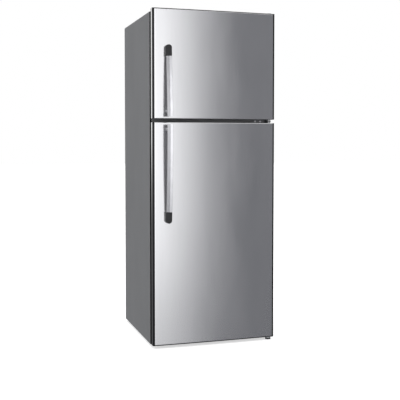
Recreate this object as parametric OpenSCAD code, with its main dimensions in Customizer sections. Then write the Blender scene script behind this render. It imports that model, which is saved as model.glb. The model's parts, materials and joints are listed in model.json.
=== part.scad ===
// Top freezer refrigerator: a free-standing steel cabinet with two doors hung on the right.
// Millimetres. Z is up and the floor is z = 0. The doors face -Y.
// Depths are counted backwards from the doors' front plane: at(d) gives the y of depth d.

/* [Cabinet] */
// Width of the cabinet and of both doors
body_w = 600; // [540:5:720]
// Depth of the cabinet behind the doors
body_d = 551.5; // [480:0.5:660]
// Height of the cabinet's top panel above the floor
body_h = 1551.5; // [1400:0.5:1865]
// Gap between the side panels and the floor
skirt_gap = 12; // [10:1:16]
// Steel sheet of the panels
sheet_t = 0.8; // [0.6:0.1:1.5]
// Steel of the base tray
tray_t = 1.5; // [1:0.1:3]
// Plastic sheet of the liners
liner_t = 2; // [1.5:0.5:3]

/* [Walls] */
// Side wall, from the outer face to the liner's inner face
side_wall = 50; // [44:1:60]
// Rear wall, from the outer face to the liner's inner face
rear_wall = 55; // [48:1:70]
// Top wall, from the top panel to the freezer's ceiling
top_wall = 50; // [44:1:60]
// Floor, from the base tray's underside to the refrigerator's floor
floor_wall = 58; // [50:1:70]
// Wall between the two compartments
mid_wall = 85; // [76:1:100]

/* [Doors] */
// Thickness of a door, from its edge at the front to its inner liner
door_t = 40; // [36:1:50]
// Gap that the gasket fills
seal_gap = 8.5; // [7:0.5:11]
// Height of the freezer door
freezer_door_h = 501; // [420:1:600]
// Gap between the doors
door_split = 17; // [16:1:24]
// Underside of the refrigerator door above the floor
door_bottom = 14; // [14:1:18]
// Rise of the freezer door above the cabinet's top
door_rise = 10.5; // [8:0.5:14]
// Crown of the steel skins in the middle of their width
crown = 4; // [2:0.5:8]
// Steel of the door skins
skin_t = 1; // [0.6:0.1:1.5]
// Width of the black side rails, seen from the front
rail_w = 8; // [6:1:12]
// Radius of the rails' front edge
rail_r = 6; // [4:1:6]
// Radius of the door's rear edge, which swings past the cabinet
rear_r = 12; // [8:1:14]
// Depth of the end caps, which hold the hinge bores
cap_t = 16; // [15:1:24]
// Strip of the outer end caps that shows beyond the steel
cap_show = 2.5; // [1:0.5:5]
// Depth of the skin's folded edges
fold_d = 9; // [6:1:12]
// Depth of the raised rims that hold the bins
dyke_d = 45; // [35:1:50]
// Width of those rims
dyke_w = 20; // [16:1:26]

/* [Gaskets] */
// Width of the gasket
seal_w = 18; // [14:1:20]
// Gasket's distance from the compartment's edge
seal_in = 6; // [4:1:8]

/* [Hinges] */
// Hinge axis, from the door's right edge
pin_in = 22; // [20:1:26]
// Hinge axis, behind the door's front plane
pin_back = 20; // [18:1:22]
// Radius of the hinge pins
pin_r = 4; // [3:0.5:5]
// Length of a pin inside its bore
pin_len = 12; // [8:1:14]
// Thickness of the hinge plates
plate_t = 3; // [2.5:0.5:4]
// Radial play of everything that turns on a pin
run_play = 0.05; // [0.02:0.01:0.09]

/* [Handles] */
// Handle's centre line, from the door's left edge
handle_in = 72; // [60:1:90]
// Width of the bar
bar_w = 25; // [18:1:32]
// Thickness of the bar
bar_t = 13; // [10:1:16]
// Furthest reach of the bar in front of the door
handle_out = 50; // [44:1:60]
// Bow of the whole handle, from its ends to its middle
handle_bow = 25; // [15:1:30]
// Distance of each bar's inner end from its door's edge
handle_end = 9.5; // [6:0.5:20]
// Length of the freezer door's handle
upper_len = 326; // [240:1:380]
// Length of the refrigerator door's handle
lower_len = 454; // [300:1:560]
// Length of the dark end caps
grip_cap = 53; // [40:1:70]

/* [Machine bay] */
// Depth of the bay at the bottom rear
bay_d = 190; // [170:1:210]
// Top of the bay above the floor
bay_z = 230; // [220:1:260]
// Foam in front of and above the bay
bay_wall = 45; // [38:1:55]
// Radius of the compressor's can
can_r = 66; // [50:1:75]

/* [Fittings] */
// Thickness of the glass shelves
glass_t = 4; // [3:0.5:5]
// Play between the shelves and the liner's walls
shelf_play = 1.5; // [1:0.5:4]
// Front edge of the shelves, behind the doors' front plane
shelf_front = 168; // [160:1:200]
// Height of the crisper drawer
crisper_h = 172; // [120:1:176]
// Front of the crisper drawer, behind the doors' front plane
crisper_front = 150; // [145:1:160]
// Space between the crisper drawer and the rims of the door that it slides between
crisper_play = 10; // [6:1:40]
// Depth of the door bins
bin_d = 100; // [70:1:105]
// Wall of the bins and the drawer
bin_wall = 2.5; // [2:0.5:4]
// Space of the evaporator behind its cover
cold_d = 74; // [70:1:90]
// Radius of the fan
fan_r = 52; // [40:1:56]

/* [Feet] */
// Radius of the rear rollers
roller_r = 14; // [12:0.5:18]
// Width of the rear rollers
roller_w = 22; // [14:1:26]
// Radius of the left foot's pad
foot_r = 16; // [12:1:20]

/* [Hidden] */
$fn = 48;

// A cut runs this far past the face that it opens
over = 1;
hw = body_w / 2;
in_w = hw - side_wall;
// The base tray stands on the roller brackets
bracket_sheet = 2;
roller_gap = 2;
base_z = 2 * roller_r + roller_gap + bracket_sheet;
cab_front = door_t + seal_gap;
back = cab_front + body_d;
front_y = (handle_out - back) / 2;

// Heights of the doors and the compartments
door_top = body_h + door_rise;
split_top = door_top - freezer_door_h;
split_bottom = split_top - door_split;
split_mid = (split_top + split_bottom) / 2;
freezer_floor = split_mid + mid_wall / 2;
freezer_ceiling = body_h - top_wall;
fridge_floor = base_z + floor_wall;
fridge_ceiling = split_mid - mid_wall / 2;
liner_back = back - rear_wall;
bay_front = back - bay_d;
step_back = bay_front - bay_wall;
step_z = bay_z + bay_wall;

// Doors
shell_back = door_t - 2;
skin_hw = hw - rail_w;
crown_r = (skin_hw * skin_hw + crown * crown) / (2 * crown);
pin_x = hw - pin_in;
arm_hw = 11;
arm_gap = 0.6;
arm_z = door_top + arm_gap;
liner_in = 14;
dyke_hw = in_w - 14;
dyke_rim = 14;
dyke_play = 8;
rim_h = 16;

// Hinges. Screws are placed from the hinge axis
riser_d = cab_front + 1.5;
leg_d = cab_front - plate_t;
screw_r = 2.5;
head_r = 5;
head_h = 2.5;
top_screws = [[-50, 20], [-50, 46], [-8, 40]];
middle_screws = [-60, -34];
bottom_screws = [-52, -34];
bottom_screw_z = 38;

// Handles: one bow over both doors
handle_x = handle_in - hw;
grip_top = split_top + handle_end + upper_len;
grip_bottom = split_bottom - handle_end - lower_len;
bow_z = (grip_top + grip_bottom) / 2;
bow_half = (grip_top - grip_bottom) / 2;
bow_r = (bow_half * bow_half + handle_bow * handle_bow) / (2 * handle_bow);
cap_side = 2;
grip_foot_r = 8;
grip_foot_in = handle_end + 24;

// Fittings
cold_front = liner_back - cold_d;
fan_z = freezer_floor + 275;
upper_shelf_z = fridge_ceiling - 250;
lower_shelf_z = step_z + 265;
freezer_shelf_z = freezer_floor + 195;
cover_z = step_z + 6;
shelf_back = liner_back - 27;
ledge = 7;
duct_hw = 70;
duct_d = 22;
passage_hw = 30;
housing_front = 215;
housing_z = fridge_ceiling - 38;
knob_z = fridge_ceiling - 20;
bin_hw = dyke_hw - dyke_w - 2;
crisper_hw = dyke_hw - dyke_w - crisper_play;
dairy_z = fridge_ceiling - 212;
dairy_h = 76;
lid_pin_r = 2.5;
bin_play = 0.5;
lid_d = door_t + bin_play + bin_wall + 13;
lid_z = dairy_z + dairy_h - 8;
bottle_z = cover_z + 110;
bin_h = 80;
bottle_h = 110;
dairy_d = bin_d - 20;
cover_t = 4;
fan_pin_r = 3;
fan_mid = cold_front + 21;
housing_hw = 105;
housing_back = housing_front + 130;
housing_t = 2;
knob_pin_r = 3;

// Feet, rollers and machine bay
roller_x = hw - 38;
roller_d = back - 45;
axle_r = 4;
foot_x = -(hw - 45);
foot_back = cab_front + 52;
stud_r = 5;
small_stud_r = 3;
foot_clear = 0.4;
bracket_z = 7;
bracket_t = 5;
can_x = hw / 2 - 10;
can_d = bay_front + bay_d / 2;
mount_h = 12;
mount_x = can_r + 2;
mount_y = can_r - 12;
mount_r = 5;
boss_r = 9;
gland_r = 8;
cord_r = 4;
slot_h = 6;
slot_pitch = 18;
foot_plate_z = base_z + tray_t + mount_h;
gland_x = -hw / 2 - 80;
gland_z = base_z + 36;

function at(d) = front_y + d;
// Angle on the handle's bow at height z
function bow_angle(z) = asin((z - bow_z) / bow_r);

// A box between two x, two depths and two heights
module block(x0, x1, d0, d1, z0, z1) {
    translate([x0, at(d0), z0]) cube([x1 - x0, d1 - d0, z1 - z0]);
}

// A cylinder along the depth, from depth d0 to d1
module rod(x, z, d0, d1, r) {
    translate([x, at(d0), z]) rotate([-90, 0, 0]) cylinder(r = r, h = d1 - d0);
}

// An upright cylinder
module post(x, d, z0, z1, r) {
    translate([x, at(d), z0]) cylinder(r = r, h = z1 - z0);
}

// What a corner of radius r loses, with the corner at the origin and the solid towards +X +Y
module corner_loss(r) {
    difference() {
        translate([-over, -over]) square(r + over);
        translate([r, r]) circle(r = r);
    }
}

// Rectangle with one radius at its front corners and one at its rear corners
module rounded_plan(x0, x1, y0, y1, front, rear) {
    difference() {
        translate([x0, y0]) square([x1 - x0, y1 - y0]);
        translate([x0, y0]) corner_loss(front);
        translate([x1, y0]) mirror([1, 0]) corner_loss(front);
        translate([x0, y1]) mirror([0, 1]) corner_loss(rear);
        translate([x1, y1]) mirror([1, 0]) mirror([0, 1]) corner_loss(rear);
    }
}

// ---- Cabinet ----

module side_panel(side) {
    x0 = side < 0 ? -hw : hw - sheet_t;
    f0 = side < 0 ? -hw : in_w + liner_t;
    color("slategray") union() {
        block(x0, x0 + sheet_t, cab_front, back, skirt_gap, body_h - sheet_t);
        block(f0, f0 + side_wall - liner_t, cab_front, cab_front + sheet_t, skirt_gap,
            body_h - sheet_t);
    }
}

module side_panel_left() { side_panel(-1); }

module side_panel_right() { side_panel(1); }

module top_panel() {
    w = in_w + liner_t;
    color("slategray") union() {
        block(-hw, hw, cab_front, back, body_h - sheet_t, body_h);
        block(-w, w, cab_front, cab_front + sheet_t, freezer_ceiling + liner_t, body_h);
    }
}

module rear_panel() {
    color("lightgray")
        block(sheet_t - hw, hw - sheet_t, back - sheet_t, back, bay_z + sheet_t, body_h - sheet_t);
}

// Floor under the foam and the machine bay, turned up at the front and beside the bay
module base_tray() {
    w = hw - sheet_t;
    f = in_w + liner_t;
    color("dimgray") difference() {
        union() {
            block(-w, w, cab_front + sheet_t, back - sheet_t, base_z, base_z + tray_t);
            block(-f, f, cab_front, cab_front + tray_t, base_z, fridge_floor - liner_t);
            for (x = [-w, w - tray_t])
                block(x, x + tray_t, bay_front, back - sheet_t, base_z, base_z + 24);
            post(foot_x, foot_back, base_z, base_z + tray_t + 8, boss_r);
        }
        post(foot_x, foot_back, base_z - over, base_z + tray_t + 8 + over, stud_r + run_play);
    }
}

module mullion_bar() {
    w = in_w + liner_t;
    color("slategray")
        block(-w, w, cab_front, cab_front + sheet_t, fridge_ceiling + liner_t,
            freezer_floor - liner_t);
}

module bay_panel() {
    w = hw - sheet_t;
    color("silver") union() {
        block(-w, w, bay_front - sheet_t, bay_front, base_z + tray_t, bay_z + sheet_t);
        block(-w, w, bay_front - sheet_t, back, bay_z, bay_z + sheet_t);
    }
}

// The freezer's space, or with grow the outside of its liner
module freezer_space(grow, d0) {
    w = in_w + grow;
    block(-w, w, d0, liner_back + grow, freezer_floor - grow, freezer_ceiling + grow);
}

// The refrigerator's space, which steps forward over the machine bay
module fridge_space(grow, d0) {
    w = in_w + grow;
    block(-w, w, d0, liner_back + grow, step_z - grow, fridge_ceiling + grow);
    block(-w, w, d0, step_back + grow, fridge_floor - grow, fridge_ceiling + grow);
}

// Cold air's way through the wall between the compartments
module air_passage() {
    block(-passage_hw, passage_hw, liner_back - 18, liner_back - 4, fridge_ceiling - over - liner_t,
        freezer_floor + over + liner_t);
}

module insulation() {
    w = hw - sheet_t;
    f = in_w + liner_t;
    color("khaki") difference() {
        block(-w, w, cab_front + sheet_t, back - sheet_t, base_z + tray_t, body_h - sheet_t);
        freezer_space(liner_t, cab_front - over);
        fridge_space(liner_t, cab_front - over);
        block(-w - over, w + over, bay_front - sheet_t, back + over, base_z, bay_z + sheet_t);
        block(-f, f, cab_front, cab_front + tray_t, base_z, fridge_floor);
        post(foot_x, foot_back, base_z, base_z + tray_t + 30, boss_r);
        air_passage();
    }
}

// Ledge pair on the side walls, under a shelf at height z
module ledges(z, d1) {
    for (x = [-in_w, in_w - ledge])
        block(x, x + ledge, shelf_front + 14, d1, z - 10, z);
}

module freezer_liner() {
    color("white") difference() {
        union() {
            difference() {
                freezer_space(liner_t, cab_front);
                freezer_space(0, cab_front - over);
            }
            ledges(freezer_shelf_z, cold_front - 10);
        }
        air_passage();
    }
}

module fridge_liner() {
    color("white") difference() {
        union() {
            difference() {
                fridge_space(liner_t, cab_front);
                fridge_space(0, cab_front - over);
            }
            ledges(upper_shelf_z, shelf_back);
            ledges(lower_shelf_z, shelf_back);
            ledges(cover_z, step_back);
        }
        air_passage();
    }
}

// ---- Machine bay ----

module compressor_cover() {
    w = hw - sheet_t - 1;
    color("gray") difference() {
        block(-w, w, back - sheet_t, back, base_z, bay_z - 1);
        for (row = [0 : 3], i = [-4 : 4])
            translate([i * w / 5 - w / 14, at(back) - sheet_t - over,
                bay_z - 40 - row * slot_pitch])
                cube([w / 7, sheet_t + 2 * over, slot_h]);
        rod(gland_x, gland_z, back - sheet_t - over, back + over, gland_r);
    }
}

module cord_inlet() {
    color("black") difference() {
        union() {
            rod(gland_x, gland_z, back - sheet_t - 6, back, gland_r);
            rod(gland_x, gland_z, back - sheet_t - 3, back - sheet_t, gland_r + 4);
        }
        rod(gland_x, gland_z, back - 10, back + over, cord_r);
    }
}

module compressor() {
    can_z = foot_plate_z + plate_t;
    color("black") translate([can_x, at(can_d), 0]) union() {
        difference() {
            translate([-can_r - 14, -can_r, foot_plate_z]) cube([2 * can_r + 28, 2 * can_r, plate_t]);
            for (x = [-1, 1], y = [-1, 1])
                translate([x * mount_x, y * mount_y, foot_plate_z - over])
                    cylinder(r = mount_r, h = plate_t + 2 * over);
        }
        translate([0, 0, can_z]) cylinder(r1 = can_r - 16, r2 = can_r, h = 20);
        translate([0, 0, can_z + 20]) cylinder(r = can_r, h = 80);
        translate([0, 0, can_z + 62]) cylinder(r = can_r + 4, h = 5);
        translate([0, 0, can_z + 100]) cylinder(r1 = can_r, r2 = can_r - 26, h = 26);
        translate([-can_r - 24, 0, can_z + 50]) rotate([0, 90, 0]) cylinder(r = 4, h = 40);
        translate([-20, -20, can_z + 100]) cylinder(r = 3, h = 45);
    }
}

module compressor_mounts() {
    color("dimgray") for (x = [-1, 1], y = [-1, 1])
        translate([can_x + x * mount_x, at(can_d) + y * mount_y, base_z + tray_t])
            difference() {
                union() {
                    cylinder(r = 2 * mount_r, h = mount_h);
                    cylinder(r = mount_r, h = mount_h + plate_t);
                }
                translate([0, 0, -over]) cylinder(r = mount_r / 2, h = mount_h + plate_t + 2 * over);
            }
}

// Tube that runs to and fro along X, n runs stacked in z
module serpentine(length, pitch, n, r) {
    for (i = [0 : n - 1])
        translate([0, 0, i * pitch]) rotate([0, 90, 0]) cylinder(r = r, h = length);
    for (i = [0 : n - 2])
        translate([i % 2 == 0 ? length : 0, 0, (i + 0.5) * pitch]) rotate([90, 0, 0])
            rotate([0, 0, i % 2 == 0 ? -90 : 90])
                rotate_extrude(angle = 180) translate([pitch / 2, 0]) circle(r = r);
}

module condenser_coil() {
    length = hw - 60;
    color("black") for (row = [0, 1])
        translate([-hw + 40, at(bay_front + 45 + row * 70), base_z + 30]) union() {
            serpentine(length, 26, 6, 3);
            for (i = [0 : 4])
                translate([length * (i + 0.5) / 5 - 4, -5, -8]) cube([8, 10, 146]);
        }
}

// ---- Cold side ----

module evaporator() {
    length = 2 * in_w - 110;
    color("silver") translate([-length / 2, at(cold_front + 42), freezer_floor + 30]) union() {
        serpentine(length, 28, 6, 4);
        for (i = [0 : 15])
            translate([8 + i * (length - 17) / 15, -22, -14]) cube([1.2, 44, 168]);
    }
}

module evaporator_cover() {
    w = in_w - shelf_play;
    color("white") difference() {
        block(-w, w, cold_front, cold_front + cover_t, freezer_floor + 1, freezer_ceiling - 1);
        for (i = [-3 : 3]) let (h = i * 13)
            block(-sqrt(2300 - h * h), sqrt(2300 - h * h), cold_front - over,
                cold_front + cover_t + over, fan_z + h - 3, fan_z + h + 3);
        for (i = [-5 : 5])
            block(i * 34 - 12, i * 34 + 12, cold_front - over, cold_front + cover_t + over,
                freezer_floor + 12, freezer_floor + 20);
    }
}

module fan_motor() {
    color("gray") union() {
        rod(0, fan_z, cold_front + 36, liner_back - 8, 26);
        rod(0, fan_z, fan_mid - 7, cold_front + 37, fan_pin_r);
        block(-45, 45, liner_back - 9, liner_back, fan_z - 30, fan_z + 30);
    }
}

module fan_blade() {
    color("lightblue") difference() {
        union() {
            rod(0, fan_z, fan_mid - 9, fan_mid + 9, 15);
            translate([0, at(fan_mid), fan_z]) for (i = [0 : 4])
                rotate([0, i * 72, 0]) rotate([0, 0, 32]) translate([-12, -0.8, 12])
                    cube([24, 1.6, fan_r - 12]);
        }
        rod(0, fan_z, fan_mid - 7 - run_play, fan_mid + 9 + over, fan_pin_r + run_play);
    }
}

module air_duct() {
    color("white") difference() {
        block(-duct_hw, duct_hw, liner_back - duct_d, liner_back, cover_z + 24, fridge_ceiling);
        block(2 - duct_hw, duct_hw - 2, liner_back - duct_d + 2, liner_back + over, cover_z + 26,
            fridge_ceiling + over);
        for (z = [cover_z + 90, lower_shelf_z + 90, upper_shelf_z + 90], i = [0, 1])
            block(-40, 40, liner_back - duct_d - over, liner_back - duct_d + 3, z + i * 16,
                z + i * 16 + 8);
    }
}

// ---- Fittings ----

module glass_plate(z, d1) {
    w = in_w - shelf_play;
    block(-w, w, shelf_front, d1, z, z + glass_t);
}

module freezer_shelf() {
    color("lightcyan", 0.5) glass_plate(freezer_shelf_z, cold_front - 12);
}

module glass_shelves() {
    color("lightcyan", 0.5) for (z = [upper_shelf_z, lower_shelf_z])
        glass_plate(z, shelf_back);
}

// Strips that hold the glass's front edge
module shelf_trims() {
    w = in_w - shelf_play;
    color("white") for (z = [freezer_shelf_z, upper_shelf_z, lower_shelf_z])
        difference() {
            block(-w, w, shelf_front - 6, shelf_front + 8, z - 5, z + glass_t + 5);
            block(-w - over, w + over, shelf_front, shelf_front + 20, z, z + glass_t);
        }
}

// Cover over the crisper, with a side wall on each side of the drawer
module crisper_frame() {
    w = in_w - shelf_play;
    wall = 4;
    gap = 2;
    color("white") union() {
        block(-w, w, crisper_front + 12, step_back + 40, cover_z, cover_z + 5);
        block(-w, w, crisper_front + 12, crisper_front + 18, cover_z - 5, cover_z + 9);
        for (side = [-1, 1])
            scale([side, 1, 1])
                block(crisper_hw + gap, crisper_hw + gap + wall, crisper_front + 14,
                    step_back - 2, fridge_floor, cover_z + 1);
    }
}

module crisper_drawer() {
    lift = 0.5;
    z0 = fridge_floor + lift;
    d1 = step_back - 6;
    color("lightblue", 0.6) difference() {
        translate([0, 0, z0]) linear_extrude(crisper_h)
            rounded_plan(-crisper_hw, crisper_hw, at(crisper_front), at(d1), 10, 10);
        translate([0, 0, z0 + bin_wall]) linear_extrude(crisper_h)
            rounded_plan(bin_wall - crisper_hw, crisper_hw - bin_wall, at(crisper_front + bin_wall),
                at(d1 - bin_wall), 10 - bin_wall, 10 - bin_wall);
        block(-60, 60, crisper_front - over, crisper_front + bin_wall + over,
            z0 + crisper_h - 16, z0 + crisper_h + over);
    }
}

module control_housing() {
    w = housing_hw;
    t = housing_t;
    color("white") difference() {
        union() {
            difference() {
                block(-w, w, housing_front, housing_back, housing_z, fridge_ceiling);
                block(t - w, w - t, housing_front + t, housing_back - t, housing_z + t,
                    fridge_ceiling + over);
            }
            rod(0, knob_z, housing_front, housing_front + 14, 8);
        }
        rod(0, knob_z, housing_front - over, housing_front + 14 + over, knob_pin_r + run_play);
    }
}

module thermostat_knob() {
    color("gray") union() {
        rod(0, knob_z, housing_front - 16, housing_front - 2, 15);
        rod(0, knob_z, housing_front - 3, housing_front + 16, knob_pin_r);
        block(-2, 2, housing_front - 20, housing_front - 15, knob_z - 12, knob_z + 14);
    }
}

module lamp_cover() {
    color("lightyellow", 0.7) difference() {
        block(-55, 55, housing_front + 40, housing_front + 120, housing_z - 14, housing_z);
        block(-53, 53, housing_front + 42, housing_front + 118, housing_z - 12, housing_z + over);
    }
}

// ---- Hinges ----

module top_hinge() {
    color("silver") difference() {
        union() {
            block(pin_x - 62, pin_x + 12, riser_d, riser_d + 60, body_h, body_h + plate_t);
            block(pin_x - arm_hw, pin_x + arm_hw, riser_d, riser_d + plate_t, body_h,
                arm_z + plate_t);
            block(pin_x - arm_hw, pin_x + arm_hw, pin_back, riser_d + plate_t, arm_z,
                arm_z + plate_t);
            post(pin_x, pin_back, arm_z, arm_z + plate_t, arm_hw);
        }
        post(pin_x, pin_back, arm_z - over, arm_z + plate_t + over, pin_r);
        for (p = top_screws)
            post(pin_x + p[0], riser_d + p[1], body_h - over, body_h + plate_t + over, screw_r);
    }
}

module top_hinge_cover() {
    d0 = riser_d + plate_t + 1;
    wall = 1.5;
    rise = door_rise + 7;
    length = 68;
    color("dimgray") difference() {
        translate([0, 0, body_h]) linear_extrude(rise)
            rounded_plan(pin_x - 70, pin_x + 18, at(d0), at(d0 + length), 3, 8);
        translate([0, 0, body_h - over]) linear_extrude(rise + over - wall)
            rounded_plan(pin_x - 70 + wall, pin_x + 18 - wall, at(d0 + wall),
                at(d0 + length - wall), 2, 6);
        block(pin_x - 63, pin_x + 13, d0 - over, d0 + wall + over, body_h - over,
            body_h + plate_t + 0.5);
    }
}

module middle_hinge() {
    z0 = split_mid - plate_t / 2;
    color("silver") difference() {
        union() {
            block(pin_x - 72, pin_x + arm_hw, leg_d, cab_front, split_bottom + 0.5, split_top - 0.5);
            block(pin_x - arm_hw, pin_x + arm_hw, pin_back, cab_front, z0, z0 + plate_t);
            post(pin_x, pin_back, z0, z0 + plate_t, arm_hw);
        }
        post(pin_x, pin_back, z0 - over, z0 + plate_t + over, pin_r);
        for (x = middle_screws)
            rod(pin_x + x, split_mid, leg_d - over, cab_front + over, screw_r);
    }
}

module bottom_hinge() {
    leg_end = pin_x - 8;
    top = bracket_z + bracket_t;
    color("silver") difference() {
        union() {
            block(pin_x - 62, leg_end, leg_d, cab_front, bracket_z, bracket_z + 52);
            block(pin_x - arm_hw, pin_x + arm_hw, pin_back, cab_front, bracket_z, top);
            post(pin_x, pin_back, bracket_z, top, arm_hw);
        }
        post(pin_x, pin_back, bracket_z + 2.5, top + over, pin_r);
        post(pin_x, pin_back, bracket_z - over, bracket_z + 3, small_stud_r + run_play);
        for (x = bottom_screws)
            rod(pin_x + x, bracket_z + bottom_screw_z, leg_d - over, cab_front + over, screw_r);
    }
}

// Shouldered pins: the shoulders carry the doors
module hinge_pins() {
    shoulder = 7;
    z0 = split_mid - plate_t / 2;
    play = 0.4;
    color("gray") union() {
        post(pin_x, pin_back, arm_z - arm_gap - pin_len, arm_z + plate_t, pin_r);
        post(pin_x, pin_back, split_bottom - pin_len, split_top + pin_len, pin_r);
        difference() {
            post(pin_x, pin_back, split_bottom + play, split_top - play, shoulder);
            post(pin_x, pin_back, z0, z0 + plate_t, shoulder + over);
        }
        post(pin_x, pin_back, bracket_z + 2.5, door_bottom + pin_len, pin_r);
        post(pin_x, pin_back, bracket_z + bracket_t, door_bottom - play, shoulder);
    }
}

// Screw through a hinge's leg
module leg_screw(x, z) {
    rod(pin_x + x, z, leg_d, cab_front, screw_r);
    rod(pin_x + x, z, leg_d - head_h, leg_d, head_r);
}

module hinge_screws() {
    color("silver") union() {
        for (p = top_screws) {
            post(pin_x + p[0], riser_d + p[1], body_h, body_h + plate_t, screw_r);
            post(pin_x + p[0], riser_d + p[1], body_h + plate_t, body_h + plate_t + head_h, head_r);
        }
        for (x = middle_screws) leg_screw(x, split_mid);
        for (x = bottom_screws) leg_screw(x, bracket_z + bottom_screw_z);
    }
}

// ---- Feet and rollers ----

module roller_brackets() {
    side = roller_w / 2 + 0.5;
    color("silver") for (s = [-1, 1])
        translate([s * roller_x, at(roller_d), 0]) union() {
            translate([-side - bracket_sheet, -14, base_z - bracket_sheet])
                cube([2 * (side + bracket_sheet), 28, bracket_sheet]);
            for (x = [-side - bracket_sheet, side])
                translate([x, -9, roller_r - 6]) cube([bracket_sheet, 18, base_z - roller_r + 6]);
            translate([-side - bracket_sheet, 0, roller_r]) rotate([0, 90, 0])
                cylinder(r = axle_r, h = 2 * (side + bracket_sheet));
        }
}

module roller(side) {
    color("dimgray") translate([side * roller_x - roller_w / 2, at(roller_d), roller_r])
        rotate([0, 90, 0]) difference() {
            cylinder(r = roller_r, h = roller_w);
            translate([0, 0, -over]) cylinder(r = axle_r + run_play, h = roller_w + 2 * over);
        }
}

module roller_left() { roller(-1); }

module roller_right() { roller(1); }

module foot_left() {
    color("black") union() {
        post(foot_x, foot_back, 0, 8, foot_r);
        post(foot_x, foot_back, 7, base_z + tray_t + 26, stud_r);
    }
}

module foot_right() {
    color("black") union() {
        post(pin_x, pin_back, 0, bracket_z - foot_clear, 13);
        post(pin_x, pin_back, bracket_z - 1, bracket_z + 2.3, small_stud_r);
    }
}

// ---- Doors ----

// Depth of the crown at x, step skins behind the outside
function crown_d(x, step) =
    crown_r - crown - sqrt(pow(crown_r - step * skin_t, 2) - x * x);

// Plan between the side rails, from the crown to depth d1
module front_plan(step, d1) {
    n = 24;
    polygon(concat(
        [for (i = [-n : n]) let (x = skin_hw * i / n) [x, at(crown_d(x, step))]],
        [[skin_hw, at(d1)], [-skin_hw, at(d1)]]));
}

// Plan of a whole door without its inner liner
module door_plan() {
    rounded_plan(-hw, hw, at(0), at(shell_back), rail_r, rear_r);
    front_plan(0, fold_d);
}

// Plan of what lies behind the skin, between the rails
module inner_plan() {
    intersection() {
        door_plan();
        front_plan(1, door_t);
    }
}

// The skin folds back at its top and bottom. show0 and show1 are the caps' visible strips.
module door_skin(z0, z1, show0, show1) {
    lo = z0 + show0;
    hi = z1 - show1;
    color("lightgray") union() {
        translate([0, 0, lo]) linear_extrude(hi - lo) difference() {
            front_plan(0, fold_d);
            front_plan(1, fold_d + over);
        }
        for (z = [lo, hi - skin_t])
            translate([0, 0, z]) linear_extrude(skin_t) front_plan(0, fold_d);
    }
}

module door_rails(z0, z1) {
    color("black") translate([0, 0, z0]) linear_extrude(z1 - z0) difference() {
        rounded_plan(-hw, hw, at(0), at(shell_back), rail_r, rear_r);
        front_plan(-1, door_t + over);
    }
}

// One end cap. dir is 1 at the door's top and -1 at its bottom; z is the door's end there.
module door_cap(z, dir, show) {
    edge = z - dir * show;
    inner = z - dir * cap_t;
    difference() {
        union() {
            translate([0, 0, min(edge, inner)]) linear_extrude(cap_t - show) inner_plan();
            if (show > 0)
                translate([0, 0, min(edge, z)]) linear_extrude(show) intersection() {
                    door_plan();
                    front_plan(0, door_t);
                }
        }
        block(-skin_hw, skin_hw, -crown - over, fold_d, min(edge, edge - dir * skin_t),
            max(edge, edge - dir * skin_t));
        post(pin_x, pin_back, min(z + dir, z - dir * (pin_len + 1)),
            max(z + dir, z - dir * (pin_len + 1)), pin_r + run_play);
    }
}

// The raised rims round a door's inside. shrink gives the foam inside their wall.
module dyke(f0, f1, shrink, d0) {
    for (side = [-1, 1])
        scale([side, 1, 1])
            block(dyke_hw - dyke_w + shrink, dyke_hw - shrink, d0, door_t + dyke_d - shrink,
                f0 + shrink, f1 - shrink);
    for (z = [f0, f1 - rim_h])
        block(shrink - dyke_hw, dyke_hw - shrink, d0, door_t + dyke_rim - shrink, z + shrink,
            z + rim_h - shrink);
}

module door_core(z0, z1, f0, f1) {
    color("khaki") union() {
        translate([0, 0, z0 + cap_t]) linear_extrude(z1 - z0 - 2 * cap_t) inner_plan();
        dyke(f0, f1, liner_t, shell_back);
    }
}

module door_liner(z0, z1, f0, f1) {
    w = hw - liner_in;
    color("white") difference() {
        union() {
            block(-w, w, shell_back, door_t, z0 + 4, z1 - 4);
            dyke(f0, f1, 0, door_t - over);
        }
        dyke(f0, f1, liner_t, shell_back - over);
    }
}

// Ring that closes against the cabinet round an opening from o0 to o1
module gasket(o0, o1) {
    a = in_w + seal_in;
    b = a + seal_w;
    touch = 0.2;
    color("gray") difference() {
        block(-b, b, door_t, cab_front - touch, o0 - seal_in - seal_w, o1 + seal_in + seal_w);
        block(-a, a, door_t - over, cab_front, o0 - seal_in, o1 + seal_in);
    }
}

// Open box that hangs between the rims of a door
module door_bin(z, h, depth) {
    d0 = door_t + bin_play;
    difference() {
        translate([0, 0, z]) linear_extrude(h)
            rounded_plan(-bin_hw, bin_hw, at(d0), at(d0 + depth), 2, 16);
        translate([0, 0, z + bin_wall]) linear_extrude(h)
            rounded_plan(bin_wall - bin_hw, bin_hw - bin_wall, at(d0 + bin_wall),
                at(d0 + depth - bin_wall), 1, 16 - bin_wall);
    }
    for (side = [-1, 1])
        scale([side, 1, 1])
            block(bin_hw - over, dyke_hw - dyke_w, d0 + 14, d0 + 30, z + h - 26, z + h - 10);
}

// The handle's bar between two heights, along the bow
module bow_bar(z0, z1) {
    a0 = bow_angle(z0);
    a1 = bow_angle(z1);
    translate([handle_x, at(bow_r - handle_out), bow_z]) rotate([0, 90, 0])
        rotate([0, 0, -90 - a1]) rotate_extrude(angle = a1 - a0, $fn = 1440)
            rounded_plan(bow_r - bar_t, bow_r, -bar_w / 2, bar_w / 2, 4, 4);
}

// A door's whole outline, which the handle's feet end on
module door_body(z0, z1) {
    translate([0, 0, z0]) linear_extrude(z1 - z0) door_plan();
}

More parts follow.
